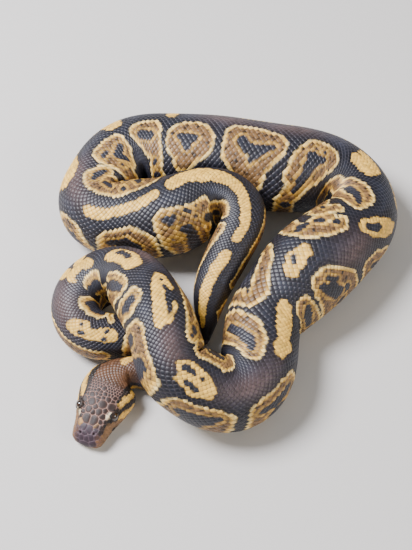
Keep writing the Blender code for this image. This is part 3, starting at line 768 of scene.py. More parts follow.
def bodyColours(s, a):
    # colour of a scale and of the bare skin beside it, from the markings and the belly line
    tone = {name: linear(text) for name, text in colours.items()}
    gold, side, core = markDepths(s, a)
    around = np.interp(s, ringS, girth) / 2
    low = 1 - np.abs(a) / around
    plain = np.zeros(s.shape + (3,))
    # dark ground, paler away from the marks: partly the ground's own uneven tone, partly a painted
    # reflection of the sky in its blue
    away = ramp(np.minimum(gold, side), *pattern["awayFrom"])
    light = away * patches(s, a, *pattern["groundPatches"])
    colour = mixed(plain + tone["ground"], tone["groundPaleAndSheen"], light)
    for washS, washA, spanS, spanA in washes:
        bloom = hump(s - washS, spanS) * hump(a - washA, spanA)
        colour = mixed(colour, tone["wash"], pattern["bloom"] * bloom)

    # a side mark: mottled tan, gold towards its edge and round its cores, and a pale rim
    speckle = sum(waver(s, a, *mottle) for mottle in pattern["speckle"])
    rate, nearest, furthest = pattern["darkByCore"]
    darker = pattern["darkShare"] + speckle - rate * np.clip(core, nearest, furthest)
    shade = mixed(plain + tone["tan"], tone["tanDark"], darker)
    width, soft, eaten = pattern["goldBand"]
    sideTone = mixed(plain + tone["gold"], shade, (-side - width) / soft + eaten * speckle)
    strength, apart, width = pattern["coreLine"]
    sideTone = mixed(sideTone, tone["gold"], strength * hump(core - apart, width))
    start, span = pattern["flank"]
    flank = np.clip((np.abs(a) / around - start) / span, 0, 1)
    even, more, narrow = pattern["rim"]
    rim = (even + more * flank) * np.clip(narrow + narrow * side, 0, 1)
    sideTone = mixed(sideTone, tone["rim"], rim)

    goldTone = mixed(plain + tone["gold"], tone["goldPale"], patches(s, a, *pattern["goldPatches"]))
    # dark cores take the same ground, with its painted sky reflection in patches
    dark = mixed(plain + tone["ground"], tone["groundPaleAndSheen"], patches(s, a, *pattern["corePatches"]))
    sideTone = mixed(sideTone, dark, inside(core))
    goldTone = mixed(goldTone, dark, inside(core))
    colour = mixed(mixed(colour, sideTone, inside(side)), goldTone, inside(gold))
    edge, soft = pattern["bellyEdge"]
    pale = np.clip((edge - low) / soft + waver(s, a, *pattern["bellyWaver"]), 0, 1)
    colour = mixed(colour, tone["belly"], pale)

    grown = pattern["skinGrowth"]
    marked = np.maximum(inside(side - grown), inside(gold - grown)) * (1 - inside(core))
    between = mixed(plain + tone["between"], tone["betweenPale"], np.maximum(marked, pale))
    return colour, mixed(between, colour, pattern["skinShare"] + 0 * s)


# Head markings, drawn in this order: colour, side (1 left, -1 right, 0 both) and a stroke as above.
headColours = {
    "crown": "25140d", "snout": "392b33", "muzzle": "7a563c", "lip": "83603c", "neck": "5a3c26",
    "black": "120f0c", "yellow": "e8b650", "cream": "dfc8a0", "tan": "b98c50", "seam": "a17d70",
    "seamDark": "1e1813", "seamSnout": "5d4a52", "chin": "e6dac2",
}
headMarks = [
    ("lip", 0, [(2, 10.5, 3.0), (8, 10.5, 3.6), (13, 12.0, 3.4), (18, 15, 3.4), (25, 18.5, 2.6)]),
    ("black", 0, [(11.5, 13.4, 1.1), (13, 16.0, 1.3)]),
    ("black", 0, [(5.6, 5.3, 0.4), (9.5, 6.4, 0.7), (12.5, 8.3, 1.2), (15, 9.4, 1.6)]),
    ("black", 0, [(14.8, 9.2, 2.6)]),
    ("tan", 1, [(6.0, 4.4, 0.6), (9.2, 4.9, 0.6)]),
    ("tan", -1, [(6.0, 2.3, 0.45), (8.3, 3.2, 0.45)]),
    # on the left, the pale spot before the eye is a painted highlight
    ("cream", 1, [(11.3, 7.0, 0.7), (13.3, 9.2, 0.6)]),
    ("cream", -1, [(11.3, 5.9, 0.45), (14.5, 6.9, 0.45)]),
    ("black", 0, [(19.5, 8.4, 0.9), (25, 9.3, 1.7), (31, 10.2, 2.0), (44, 12, 2.6)]),
    ("black", 0, [(15.5, 10.2, 1.2), (20, 12.0, 1.8), (26, 15.4, 2.3), (33, 17.5, 3.0), (44, 18, 3.0)]),
    ("yellow", 1, [(20.0, 10.0, 1.1), (23.5, 11.3, 1.4), (28.5, 13.2, 1.5),
                   (36, 13.6, 1.7), (46, 13.6, 1.7)]),
    ("yellow", -1, [(20.2, 9.6, 1.0), (23.5, 10.8, 1.3), (28.5, 13.0, 1.5),
                    (36, 13.6, 1.7), (46, 13.6, 1.7)]),
    ("yellow", 0, [(15.8, 12.2, 0.8), (18.2, 14.0, 1.5), (22.5, 17.6, 1.6), (26, 20, 1.6)]),
    ("yellow", 1, [(39.5, 2.5, 1.8), (43, 5, 2.2)]),
]
# A pair says where a colour has no share yet and where it is full: along the head from the snout,
# then round from the spine, in millimetres.
headPattern = {
    "snout": ((8, 5.5), (6.5, 4)),
    "muzzle": ((6, 3), (4, 6)),
    "neck": (25, 31),
    "seamBehind": 0.85,          # how far the seams fade into the neck's brown
    "seamSnout": ((8, 6), (6.5, 8), (14, 12)),   # ahead of the eyes, and at the sides behind that
    "waver": (0.25, 4, 21),      # swing, size and seed of a mark's uneven edge
    "edge": 0.6,
    "seamShare": 0.8,            # of a mark's colour in its seams
    "chin": (-1.2, -3.6),        # measured past the mouth's line
    "lipLine": 0.3,              # half width of the dark line of the mouth
    "lipEnd": (27.5, 25.5),
    # half width of the painted shade in each nostril's opening
    "nostril": 0.45,
    "mottle": (0.12, 1.7, 31),
}


def headTones(s, a):
    # the same pair of colours for the head: crown, snout, lips and the stripes through the eye
    tone = {name: linear(text) for name, text in headColours.items()}
    plain = np.zeros(s.shape + (3,))
    across = np.abs(a)
    colour = plain + tone["crown"]
    for name in ("snout", "muzzle"):
        along, beside = headPattern[name]
        colour = mixed(colour, tone[name], ramp(s, *along) * ramp(across, *beside))
    behind = ramp(s, *headPattern["neck"])
    colour = mixed(colour, tone["neck"], behind)
    between = mixed(plain + tone["seam"], tone["neck"], headPattern["seamBehind"] * behind)
    first, beside, second = headPattern["seamSnout"]
    purple = ramp(s, *first) + ramp(across, *beside) * ramp(s, *second)
    between = mixed(between, tone["seamSnout"], purple)
    wave = waver(s, a, *headPattern["waver"])
    for name, flank, stroke in headMarks:
        depth = strokeDistance(s, flank * a if flank else across, stroke) + wave
        share = inside(depth, headPattern["edge"])
        colour = mixed(colour, tone[name], share)
        seam = tone[name if name != "black" else "seamDark"]
        between = mixed(between, seam, share * headPattern["seamShare"])
    below = np.interp(s, mouthS, mouthA) - across
    pale = ramp(below, *headPattern["chin"])
    colour = mixed(colour, tone["chin"], pale)
    between = mixed(between, tone["chin"], pale)
    lipLine = hump(below, headPattern["lipLine"]) * ramp(s, *headPattern["lipEnd"])
    # painted shade: each nostril's opening is darkened to black in the bare skin's colour
    hole = hump(nearestSpot(s, a, nostrils) ** 2, headPattern["nostril"] ** 2)
    shade = 1 + waver(s, a, *headPattern["mottle"])
    return colour * shade[..., None], mixed(between, tone["black"], np.maximum(lipLine, hole))


def coatColours(s, a):
    # head colours forward, body colours behind, blended over the neck
    around = np.interp(s, ringS, girth)
    a = np.where(a > around / 2, a - around, a)
    tones = bodyColours(s, a)
    share = ramp(s, *pattern["neck"])
    if not (share > 0).any():
        return tones
    return [mixed(rear, front, share) for rear, front in zip(tones, headTones(s, a))]


scale = {
    "length": 2.6,               # pitch along the body and from row to row, where it is this thick
    "row": 1.6,
    "atRadius": 21.0,
    "thinning": 0.45,            # how fast the pitch falls with the body's width
    "longer": 1.2,               # share of the pitch that a scale covers along the body
    "wider": 1.03,
    "corner": 1.32,              # 1 is a diamond, 2 an ellipse
    "corners": 8,                # points round a scale
    "inner": (0.6, 0.72),        # the ring inside the rim: how far out, and its share of the dome
    "skirt": 1.01,
    "dome": 0.25,
    "rise": 0.18,                # how far the free rear edge stands above the front one
    "sunk": 0.12,                # the skirt's foot below the skin
    "shade": 0.24,               # one scale is this much lighter or darker than the next
    "colourPull": 0.55,          # markings are read this share of the way out to a scale's rim
    "paleRim": (0.0, 0.06, 0.4, 0.75),   # share of the bare skin's colour from the middle out
    "from": 28.0,
    "tailEnd": 1.5,
    "ventral": 0.105,            # half width of the belly plates, in shares of the girth
    "rows": 46,                  # on either side of the spine, at most
    "rowRoom": 0.3,              # share of a row left free beside the belly plates
    "spine": (0.75, 1.5, 6.0),   # least and most stretch of the spine, evened over this length
    "least": 0.45,               # share of its height, where the skin is drawn together
    "pieces": 7,
}
belly = {
    "across": 12,                # faces across a plate and along it
    "along": 4,
    "dome": 0.12,
    "rise": 0.14,
    "lip": 0.06,                 # the free hind edge over the skin
    "sunk": 0.1,
    "longer": 1.12,              # share of the pitch that a plate covers along the body
    "bow": 0.35,                 # how far the ends of a plate lie ahead of its middle
    "lap": 0.008,                # how far it reaches under the scales, in shares of the girth
    "lowest": 0.02,
    "from": 36.0,
    "tailEnd": 3.0,
}
bake = {
    "start": 0.02,               # margin and length of a piece on the map
    "span": 0.96,
    "patch": 0.0015,             # half the width of a scale's patch
    "around": 145.0,             # millimetres round the body that fill the map
    "headLong": 32.0,            # and along and round the head
    "headAround": 72.0,
}


def scalePitch(s):
    # share of the full pitch: the body's half width over the reference one, to a power
    half = np.interp(s, line["s"], line["half"])
    return (half / scale["atRadius"]) ** scale["thinning"]


def countColumns():
    # how many scales lie between the snout and each point of the middle line, along the spine
    spine = skinPoints[:, skin["columns"] // 2]
    stretch = np.linalg.norm(np.gradient(spine, axis=0), axis=1) / np.gradient(ringS)
    least, most, evened = scale["spine"]
    stretch = smoothed(np.interp(line["s"], ringS, stretch), evened, line["s"][1])
    stretch = np.clip(stretch, least, most)
    steps = np.diff(line["s"]) * (stretch / scale["length"] / scalePitch(line["s"]))[1:]
    return stretch, np.concatenate([[0], np.cumsum(steps)])


spineStretch, columnCount = countColumns()


def wholeColumns(first, last):
    # the columns of scales between two distances from the snout
    start, end = np.interp((first, last), line["s"], columnCount)
    return np.arange(math.ceil(start), end)


def layScales(first, last):
    # centres of the scales in even rows, every other row half a scale behind
    rows = np.arange(-scale["rows"], scale["rows"] + 1)
    column, row = np.meshgrid(wholeColumns(first, last), rows)
    s = np.interp(column + 0.5 * (row % 2), columnCount, line["s"])
    a = row * scale["row"] * scalePitch(s)
    edge = np.interp(s, ringS, girth) * (0.5 - scale["ventral"])
    keep = np.abs(a) < edge - scale["rowRoom"] * scale["row"] * scalePitch(s)
    keep &= s < line["length"] - scale["tailEnd"]
    return s[keep], a[keep]


def starFaces(rays, rings):
    # faces of one plate: a fan round its middle, then a band from each ring to the next
    k = np.arange(rays)
    after = (k + 1) % rays
    fan = np.stack([0 * k, 1 + k, 1 + after], 1)
    bands = [np.stack([at + k, at + rays + k, at + rays + after, at + after], 1)
             for at in 1 + rays * np.arange(rings - 1)]
    return fan, np.concatenate(bands)


def repeated(faces, count, points):
    # the same faces for each of a number of plates
    return (faces[None] + (np.arange(count) * points)[:, None, None]).reshape(-1, faces.shape[1])


def scalePattern():
    # a domed diamond: its middle, a ring, the rim and a skirt, as (along, across, height)
    corners = scale["corners"]
    angle = np.arange(corners) * 2 * math.pi / corners
    total = np.abs(np.cos(angle)) ** scale["corner"] + np.abs(np.sin(angle)) ** scale["corner"]
    rim = np.stack([np.cos(angle), np.sin(angle)], 1) * (total ** (-1 / scale["corner"]))[:, None]
    reach, share = scale["inner"]
    flat = np.concatenate([[[0, 0]], reach * rim, rim, scale["skirt"] * rim])
    top = 2 * corners + 1
    bulge = np.repeat([1, share, 0], [1, corners, corners])
    height = scale["dome"] * bulge + scale["rise"] * (0.5 + 0.5 * flat[:top, 0])
    return flat[:, 0], flat[:, 1], np.concatenate([height, np.full(corners, -scale["sunk"])])


def scalePlates(s, a):
    # each plate is wrapped onto the skin; where the skin is drawn together its plates are shorter
    along, across, height = scalePattern()
    pitch = scalePitch(s)
    stepS = scale["length"] * pitch / np.interp(s, line["s"], spineStretch)
    ahead, _ = sampleSkin(s + 0.5 * stepS, a)
    behind, _ = sampleSkin(s - 0.5 * stepS, a)
    stretch = np.linalg.norm(ahead - behind, axis=1) / (scale["length"] * pitch)
    reachS = 0.5 * stepS * scale["longer"] * np.where(stretch > 1, stretch ** -0.5, 1)
    reachA = scale["row"] * pitch * scale["wider"]
    outS, outA = along[None] * reachS[:, None], across[None] * reachA[:, None]
    place, normal = sampleSkin(s[:, None] + outS, a[:, None] + outA)
    size = np.minimum(pitch, 1) * np.clip(stretch, scale["least"], 1)
    points = place + normal * (height[None] * size[:, None])[..., None]
    pull = scale["colourPull"]
    colour, between = coatColours(s[:, None] + outS * pull, a[:, None] + outA * pull)
    shade = 1 + scale["shade"] * np.random.default_rng(len(s)).uniform(-1, 1, len(s))
    rim = np.repeat(scale["paleRim"], [1] + [scale["corners"]] * 3)
    colour = mixed(colour * shade[:, None, None], between, rim[None])
    return points.reshape(-1, 3), colour.reshape(-1, 3), along, across


def bellyPlates(first, last):
    # wide plates across the belly, each a grid whose hind edge stands free over the next
    steps = wholeColumns(first, last)
    middle = np.interp(steps, columnCount, line["s"])
    behind, ahead = (np.interp(steps + half, columnCount, line["s"]) for half in (-0.5, 0.5))
    edges = [np.linspace(-1, 1, belly[way] + 1) for way in ("across", "along")]
    sideways, lengthways = (grid.ravel() for grid in np.meshgrid(*edges))
    bowed = lengthways - belly["bow"] * sideways ** 4
    s = middle[:, None] + 0.5 * belly["longer"] * (ahead - behind)[:, None] * bowed[None]
    a = np.interp(s, ringS, girth) * (0.5 + (scale["ventral"] + belly["lap"]) * sideways[None])
    place, normal = sampleSkin(s, a)
    bulge = (1 - lengthways ** 4) * (1 - sideways ** 8)
    height = belly["dome"] * bulge + belly["rise"] * (0.5 + 0.5 * lengthways)
    rim = (np.abs(sideways) == 1) | (np.abs(lengthways) == 1)
    height = np.where(rim, np.where(lengthways == 1, belly["lip"], -belly["sunk"]), height)
    size = np.minimum(scalePitch(middle), 1)[:, None]
    points = place + normal * (height[None] * size)[..., None]
    points[..., 2] = np.maximum(points[..., 2], belly["lowest"])
    wide = belly["across"] + 1
    row, column = np.meshgrid(np.arange(belly["along"]), np.arange(belly["across"]), indexing="ij")
    corner = (row * wide + column).ravel()
    quads = np.stack([corner, corner + wide, corner + wide + 1, corner + 1], 1)
    faces = [repeated(quads, len(middle), len(sideways))]
    colour, _ = coatColours(s, a)
    u = (bake["start"] + bake["span"] * middle / line["length"])[:, None] + bake["patch"] * lengthways
    v = 0.5 + bake["patch"] * sideways + 0 * u
    flat = np.stack([u.ravel(), v.ravel()], 1)
    return points.reshape(-1, 3), faces, colour.reshape(-1, 3), flat


# Head plates; a hole leaves the skin bare for a nostril or an eye.
plates = {
    "rays": 16,                  # directions in which a plate meets its neighbours
    "turn": 0.26,                # of the first ray from the way ahead, in radians
    "seam": 0.05,                # half the bare skin between two plates
    "most": 2.2,                 # a plate reaches this many half sizes out at most
    "dome": 0.1,
    "least": (0.4, 1.6),         # sizes between which a plate's height grows
    "rings": [(0.5, 0.93), (0.86, 0.55), (1.0, 0.0), (1.02, -0.7)],    # reach and height of each
    "pitRings": (0.32, 0.62, 1.0, 1.02),         # reach of each on a plate with a heat pit
    "pitDepth": -0.35,           # height of such a plate's middle
    # how dark the middle of a heat pit is painted: painted shade in its hollow
    "pitPaintedShade": 0.92,
    "pitShadeShares": (1.0, 0.75, 0, 0, 0),   # share of that painted shade from the middle out
    "rims": (0, 0, 0.1, 0.45, 0.7),      # share of the seam's colour from the middle out
    "colourPull": 0.3,           # markings are read this share of the way out to a plate's rim
    "small": 1.55,               # spacing of the small plates, on the crown and at the nape
    "smallNape": 1.2,
    "nape": 19.0,                # where the spacing starts to fall
    "firstRow": 0.8,
    "last": 28.6,
    "stray": 0.16,               # of their spacing, so that no two small plates are alike
    "rowShare": 0.87,            # from row to row, in shares of their spacing
    "clear": 0.55,               # share of their half size that they keep off a larger plate
    "snout": (13.0, 0.8, 5.8),   # end, middle and half width of the part without small plates
    "labialRow": (1.6, 26.5, 2.35),      # start, end and pitch along the lips
    "labial": 1.15,
    "lower": 0.9,                # how far the lower lip's plates lie behind the upper's
    "lipHeight": 1.35,
    "pits": (1, 2, 3, 4),        # places in the upper lip's row that carry a heat pit
    "eyeRing": (8, -48.0, 38.0, 2.75, 0.8),      # how many, first angle, step, radius, half size
    "seed": 11,
    "pointsAtOnce": 400,         # to spare memory
}
# Plates of the crown and snout: distance from the snout, distance round from the spine, half size.
crownPlates = [
    (-0.3, 0.4, 1.6), (1.4, 2.1, 0.9), (1.5, -0.3, 1.0), (1.7, 4.5, 0.95), (2.3, -2.3, 0.95),
    (3.2, 1.2, 0.75), (0.5, 4.6, 1.0), (0.6, -4.2, 1.0), (3.9, 4.7, 0.95), (3.3, -4.7, 0.9),
    (5.5, 2.5, 1.3), (5.1, -0.3, 1.45), (5.7, -3.4, 0.9), (5.4, -5.4, 0.8), (7.5, 5.0, 1.25),
    (7.3, -3.2, 1.0), (7.6, -5.2, 0.85), (9.3, 2.7, 2.2), (9.3, -0.8, 2.15), (9.9, 5.7, 0.9),
    (9.6, -4.0, 0.9), (11.8, 5.7, 1.0), (12.0, -4.3, 1.2), (10.6, -6.1, 0.8), (12.5, 0.9, 0.7),
    (13.3, 3.3, 1.5), (13.4, -1.8, 1.35), (14.1, 6.5, 1.15), (14.7, -4.3, 0.85), (12.4, 7.6, 0.9),
    (12.9, -6.3, 0.9), (15.1, 0.7, 0.8), (16.9, 3.3, 1.95), (17.2, -2.0, 2.0), (17.2, 7.6, 1.9),
    (17.5, -6.4, 1.9), (19.3, 0.9, 0.75), (20.0, 4.6, 1.35), (20.0, -3.6, 1.25), (21.8, 7.0, 0.95),
    (21.9, -6.0, 0.95), (22.0, -1.3, 1.0), (22.6, 2.6, 1.0), (24.5, 0.2, 1.15),
]
nostrils = [(2.9, 3.1, 0.6), (4.0, -3.1, 0.6)]
eyeSpot = (14.8, 9.2, 1.75)


def plateCentres():
    # every plate on the head as rows of (along, round, half size, kind); kind 1 is a hole, 2 has a pit
    found = [(*spot, 0) for spot in crownPlates] + [(*spot, 1) for spot in nostrils]
    found += [(eyeSpot[0], side * eyeSpot[1], eyeSpot[2], 1) for side in (-1, 1)]
    count, start, apart, radius, size = plates["eyeRing"]
    for turn in np.radians(start + apart * np.arange(count)):  # round each eye, but for the brow
        s, a = eyeSpot[0] - radius * math.cos(turn), eyeSpot[1] + radius * math.sin(turn)
        found += [(s, side * a, size, 0) for side in (-1, 1)]
    for k, s in enumerate(np.arange(*plates["labialRow"])):
        a = np.interp(s, mouthS, mouthA)
        kind = 2 if k in plates["pits"] else 0
        for side in (-1, 1):
            found.append((s, side * (a - plates["lipHeight"]), plates["labial"], kind))
            found.append((s + plates["lower"], side * (a + plates["lipHeight"]), plates["labial"], 0))
    found = np.array(found)
    draw = np.random.default_rng(plates["seed"])
    s, odd = plates["firstRow"], 0
    extra = []
    while s < plates["last"]:  # rows of small plates, those that fall on a larger one left out
        step = np.interp(s, [plates["nape"], plates["last"]], [plates["small"], plates["smallNape"]])
        half = np.interp(s, ringS, girth) / 2
        a = np.arange(-half + odd * step / 2, half - 0.4 * step, step)
        jitter = draw.uniform(-plates["stray"], plates["stray"], (2, len(a))) * step
        extra.append(np.stack([s + jitter[0], a + jitter[1], 0 * a + step * 0.5, 0 * a], 1))
        s, odd = s + step * plates["rowShare"], 1 - odd
    extra = np.concatenate(extra)
    place, _ = sampleSkin(extra[:, 0], extra[:, 1])
    fixed, _ = sampleSkin(found[:, 0], found[:, 1])
    apart = np.linalg.norm(place[:, None] - fixed[None], axis=2)
    free = (apart > found[None, :, 2] + plates["clear"] * extra[:, 2:3]).all(1)
    behind, middle, beside = plates["snout"]
    free &= (extra[:, 0] > behind) | (np.abs(extra[:, 1] - middle) > beside)
    return np.concatenate([found, extra[free]])


def nearestOnHead(points):
    # the foot of each point on the plane of the nearest point of the head's skin
    rows = ringS < skin["headStepEnd"]
    grid = skinPoints[rows][:, :-1].reshape(-1, 3)
    normals = skinNormals[rows][:, :-1].reshape(-1, 3)
    toEye = np.min([np.linalg.norm(grid - centre, axis=1) for centre in eyeCentres], axis=0)
    columns = np.arange(skin["columns"]) / skin["columns"] - 0.5
    a = (columns[None] * girth[rows][:, None]).ravel()
    s = np.repeat(ringS[rows], skin["columns"])
    size = (grid ** 2).sum(1) + np.where(toEye > eyeRadius, 0, farOff ** 2)
    parts = np.array_split(points, max(1, len(points) // plates["pointsAtOnce"]))
    best = np.concatenate([np.argmin(size - 2 * part @ grid.T, axis=1) for part in parts])
    normal = normals[best]
    foot = points - ((points - grid[best]) * normal).sum(1)[:, None] * normal
    return foot, normal, s[best], a[best]


def headPlates():
    # each plate reaches out on every side to where it meets its neighbours: a power diagram
    # measured along rays in the plane that touches the head at the plate's middle; the small
    # numbers only keep divisors and the reach off zero
    centres = plateCentres()
    place, normal = sampleSkin(centres[:, 0], centres[:, 1])
    ahead, _ = sampleSkin(centres[:, 0] + 0.2, centres[:, 1])
    first = ahead - place
    first -= (first * normal).sum(1)[:, None] * normal
    first /= np.linalg.norm(first, axis=1)[:, None]
    second = np.cross(normal, first)
    count = plates["rays"]
    angle = np.arange(count) * 2 * math.pi / count + plates["turn"]
    rays = first[:, None] * np.cos(angle)[None, :, None] + second[:, None] * np.sin(angle)[None, :, None]
    toOther = place[None] - place[:, None]
    apart = (toOther ** 2).sum(2)
    power = centres[:, 2] ** 2
    lead = np.einsum("irk,ijk->irj", rays, toOther)
    room = (apart + power[:, None] - power[None])[:, None, :] / 2
    reach = np.where(lead > 0.02, np.maximum(room, 0.05) / np.maximum(lead, 0.02), farOff).min(2)
    reach = np.minimum(reach, plates["most"] * centres[:, 2:3]) - plates["seam"]
    built = centres[:, 3] != 1
    reach, rays, place = np.maximum(reach[built], 0.1), rays[built], place[built]
    pitted = centres[built, 3] == 2

    # the rings of a plate, laid on the head and lifted off it
    shares = np.where(pitted[:, None], plates["pitRings"], [out for out, _ in plates["rings"]])
    spread = reach[:, None, :, None] * shares[:, :, None, None] * rays[:, None]
    spread = (place[:, None, None] + spread).reshape(len(place), -1, 3)
    flat = np.concatenate([place[:, None], spread], 1)
    foot, out, s, a = nearestOnHead(flat.reshape(-1, 3))
    size = np.clip(reach.mean(1), *plates["least"])[:, None]
    perRing = [1] + [count] * len(plates["rings"])
    lift = np.repeat([1] + [high for _, high in plates["rings"]], perRing)
    height = lift[None] * plates["dome"] * size ** 0.5
    height[:, 0] = np.where(pitted, plates["pitDepth"], height[:, 0])
    points = foot + out * height.reshape(-1, 1)

    centre = np.repeat(np.arange(len(place)) * flat.shape[1], flat.shape[1])
    pull = plates["colourPull"]
    colour, between = coatColours(s[centre] + pull * (s - s[centre]), a[centre] + pull * (a - a[centre]))
    # painted shade in the heat pits: their middles darkened
    pit = np.tile(np.repeat(plates["pitShadeShares"], perRing), len(place))
    pit *= np.repeat(pitted, flat.shape[1])
    rim = np.tile(np.repeat(plates["rims"], perRing), len(place))
    colour = mixed(colour, between, rim) * (1 - plates["pitPaintedShade"] * pit)[:, None]

    fan, bands = starFaces(count, shares.shape[1])
    spreadS = np.tile(np.r_[0, (shares[0, :, None] * np.cos(angle)).ravel()], len(place))
    spreadA = np.tile(np.r_[0, (shares[0, :, None] * np.sin(angle)).ravel()], len(place))
    u = bake["start"] + bake["span"] * s[centre] / bake["headLong"] + bake["patch"] * spreadS
    v = 0.5 + a[centre] / bake["headAround"] + bake["patch"] * spreadA
    faces = [repeated(part, len(place), flat.shape[1]) for part in (fan, bands)]
    return points, faces, colour, np.stack([u, v], 1)


def newMesh(name, points, faceSets):
    # points in millimetres; faceSets are arrays of faces with equal numbers of corners
    mesh = bpy.data.meshes.new(name)
    mesh.vertices.add(len(points))
    mesh.vertices.foreach_set("co", (np.asarray(points) * mm).astype(np.float32).ravel())
    corners = np.concatenate([faces.ravel() for faces in faceSets])
    starts = np.cumsum(np.r_[0, np.concatenate([np.full(len(f), f.shape[1]) for f in faceSets])])[:-1]
    mesh.loops.add(len(corners))
    mesh.loops.foreach_set("vertex_index", corners.astype(np.int32))
    mesh.polygons.add(len(starts))
    mesh.polygons.foreach_set("loop_start", starts.astype(np.int32))
    mesh.update(calc_edges=True)
    mesh.shade_smooth()
    return mesh


def makePiece(name, points, faces, colour, material, slotName, flat=None):
    # a piece that rides with the body: points in millimetres, linear colours, and for scales the
    # place of every point on the flattened skin
    mesh = newMesh(name, points, faces)
    layer = mesh.attributes.new("tint", "FLOAT_COLOR", "POINT")
    opaque = np.concatenate([colour, np.ones((len(colour), 1))], 1)
    layer.data.foreach_set("color", opaque.astype(np.float32).ravel())
    if flat is not None:
        corner = np.empty(len(mesh.loops), np.int32)
        mesh.loops.foreach_get("vertex_index", corner)
        layer = mesh.uv_layers.new(name="OFBake")
        layer.data.foreach_set("uv", flat[corner].astype(np.float32).ravel())
    mesh.materials.append(material)
    piece = bpy.data.objects.new(name, mesh)
    bpy.context.scene.collection.objects.link(piece)
    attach(piece, "root")
    return piece


def addNode(tree, kind, settings=None, links=None):
    # a node with its settings and what feeds its sockets
    node = tree.nodes.new(kind)
    for key, value in (settings or {}).items():
        if hasattr(node, key):
            setattr(node, key, value)
        else:
            node.inputs[key].default_value = value
    for key, source in (links or {}).items():
        tree.links.new(source, node.inputs[key])
    return node


# roughness, width of the mottle and lift of the grain, both in millimetres
finishes = {
    # skin between scales: dry and creased, so it stays matt where the scales shine
    "softSkin": (0.6, 0.5, 0.05),
    # keratin of the back, grown in thin domed scales: a soft sheen that breaks on every scale
    "keratinScales": (0.43, 1.1, 0.015),
    # keratin of the head, thicker and more worn: broad dull lights on each plate
    "headKeratin": (0.55, 1.2, 0.02),
    # keratin of the belly, polished by the ground: the smoothest face of the body
    "bellyKeratin": (0.38, 2.0, 0.01),
    # the clear cap over the eye, always wet looking: one small sharp light
    "corneaGloss": (0.06, 0.3, 0.0),
}
grain = {
    "finer": 5.0,                # the grain is this many times finer than the mottle
    "noise": (0.3, 0.7),         # range of the noise that is used
    "light": (0.78, 1.2),        # darkest and lightest patch of the mottle
    "dull": (0.8, 1.2),          # least and most rough, in shares of the roughness
    "index": 1.45,
}


def tintedMaterial(name):
    # colour of each scale from the mesh, times a mottle; a finer grain wanders in the roughness
    # and lifts the face. Keratin's own ridges, some hundredths of a millimetre apart, are too fine
    # to show, so the grain is drawn about ten times as coarse.
    roughness, mottleWidth, lift = finishes[name]
    material = bpy.data.materials.new(name)
    material.use_nodes = True
    tree = material.node_tree
    shader = tree.nodes["Principled BSDF"]
    shader.inputs["IOR"].default_value = grain["index"]
    tint = addNode(tree, "ShaderNodeAttribute", {"attribute_name": "tint"})
    place = addNode(tree, "ShaderNodeTexCoord").outputs["Object"]
    pace = 1 / (mottleWidth * mm)
    mottle = addNode(tree, "ShaderNodeTexNoise", {"Scale": pace, "Detail": 3.0}, {"Vector": place})
    fine = addNode(tree, "ShaderNodeTexNoise", {"Scale": grain["finer"] * pace, "Detail": 2.0},
                   {"Vector": place})
    least, most = grain["noise"]
    light = addNode(tree, "ShaderNodeMapRange",
                    {"From Min": least, "From Max": most,
                     "To Min": grain["light"][0], "To Max": grain["light"][1]},
                    {"Value": mottle.outputs["Fac"]})
    dull = addNode(tree, "ShaderNodeMapRange",
                   {"From Min": least, "From Max": most,
                    "To Min": grain["dull"][0] * roughness, "To Max": grain["dull"][1] * roughness},
                   {"Value": fine.outputs["Fac"]})
    tinted = addNode(tree, "ShaderNodeVectorMath", {"operation": "SCALE"},
                     {"Vector": tint.outputs["Color"], "Scale": light.outputs["Result"]})
    bump = addNode(tree, "ShaderNodeBump", {"Strength": 1.0, "Distance": lift * mm},
                   {"Height": fine.outputs["Fac"]})
    tree.links.new(tinted.outputs["Vector"], shader.inputs["Base Color"])
    tree.links.new(dull.outputs["Result"], shader.inputs["Roughness"])
    tree.links.new(bump.outputs["Normal"], shader.inputs["Normal"])
    return material


def closedTube(rows, columns):
    # faces of rings of points with a pole at either end; the poles are the last two points
    row, column = np.meshgrid(np.arange(rows - 1), np.arange(columns), indexing="ij")
    after = (column + 1) % columns
    quads = np.stack([row * columns + column, (row + 1) * columns + column,
                      (row + 1) * columns + after, row * columns + after], -1).reshape(-1, 4)
    k = np.arange(columns)
    follow = (k + 1) % columns
    base = (rows - 1) * columns
    first = np.stack([k, follow, np.full(columns, rows * columns)], 1)
    last = np.stack([base + follow, base + k, np.full(columns, rows * columns + 1)], 1)
    return [quads, first, last]


eye = {
    "rings": 48,
    "columns": 64,
    "gaze": 0.6,                 # the gaze leaves the skin this far ahead of the eye's middle
    "pupil": 0.42,               # half width and half height of the slit, millimetres
    "pupilTall": 1.35,
    "slitEdge": (1.15, 0.9),     # the slit darkens between these shares of its size
    "irisEdge": (0.75, 0.95),    # and the iris between these angles from the gaze
    "streaks": (23, 3, 7),       # streaks round the iris, and how far and how often they waver
    "streakFade": (0.9, 0.2),    # angles at which they are gone, and at their palest
    "iris": "1f150e",
    "irisPale": "553a24",
    "rim": "0c0a09",
    "coat": 1.0,                 # the clear cap's own gloss
    "coatRoughness": 0.03,
}


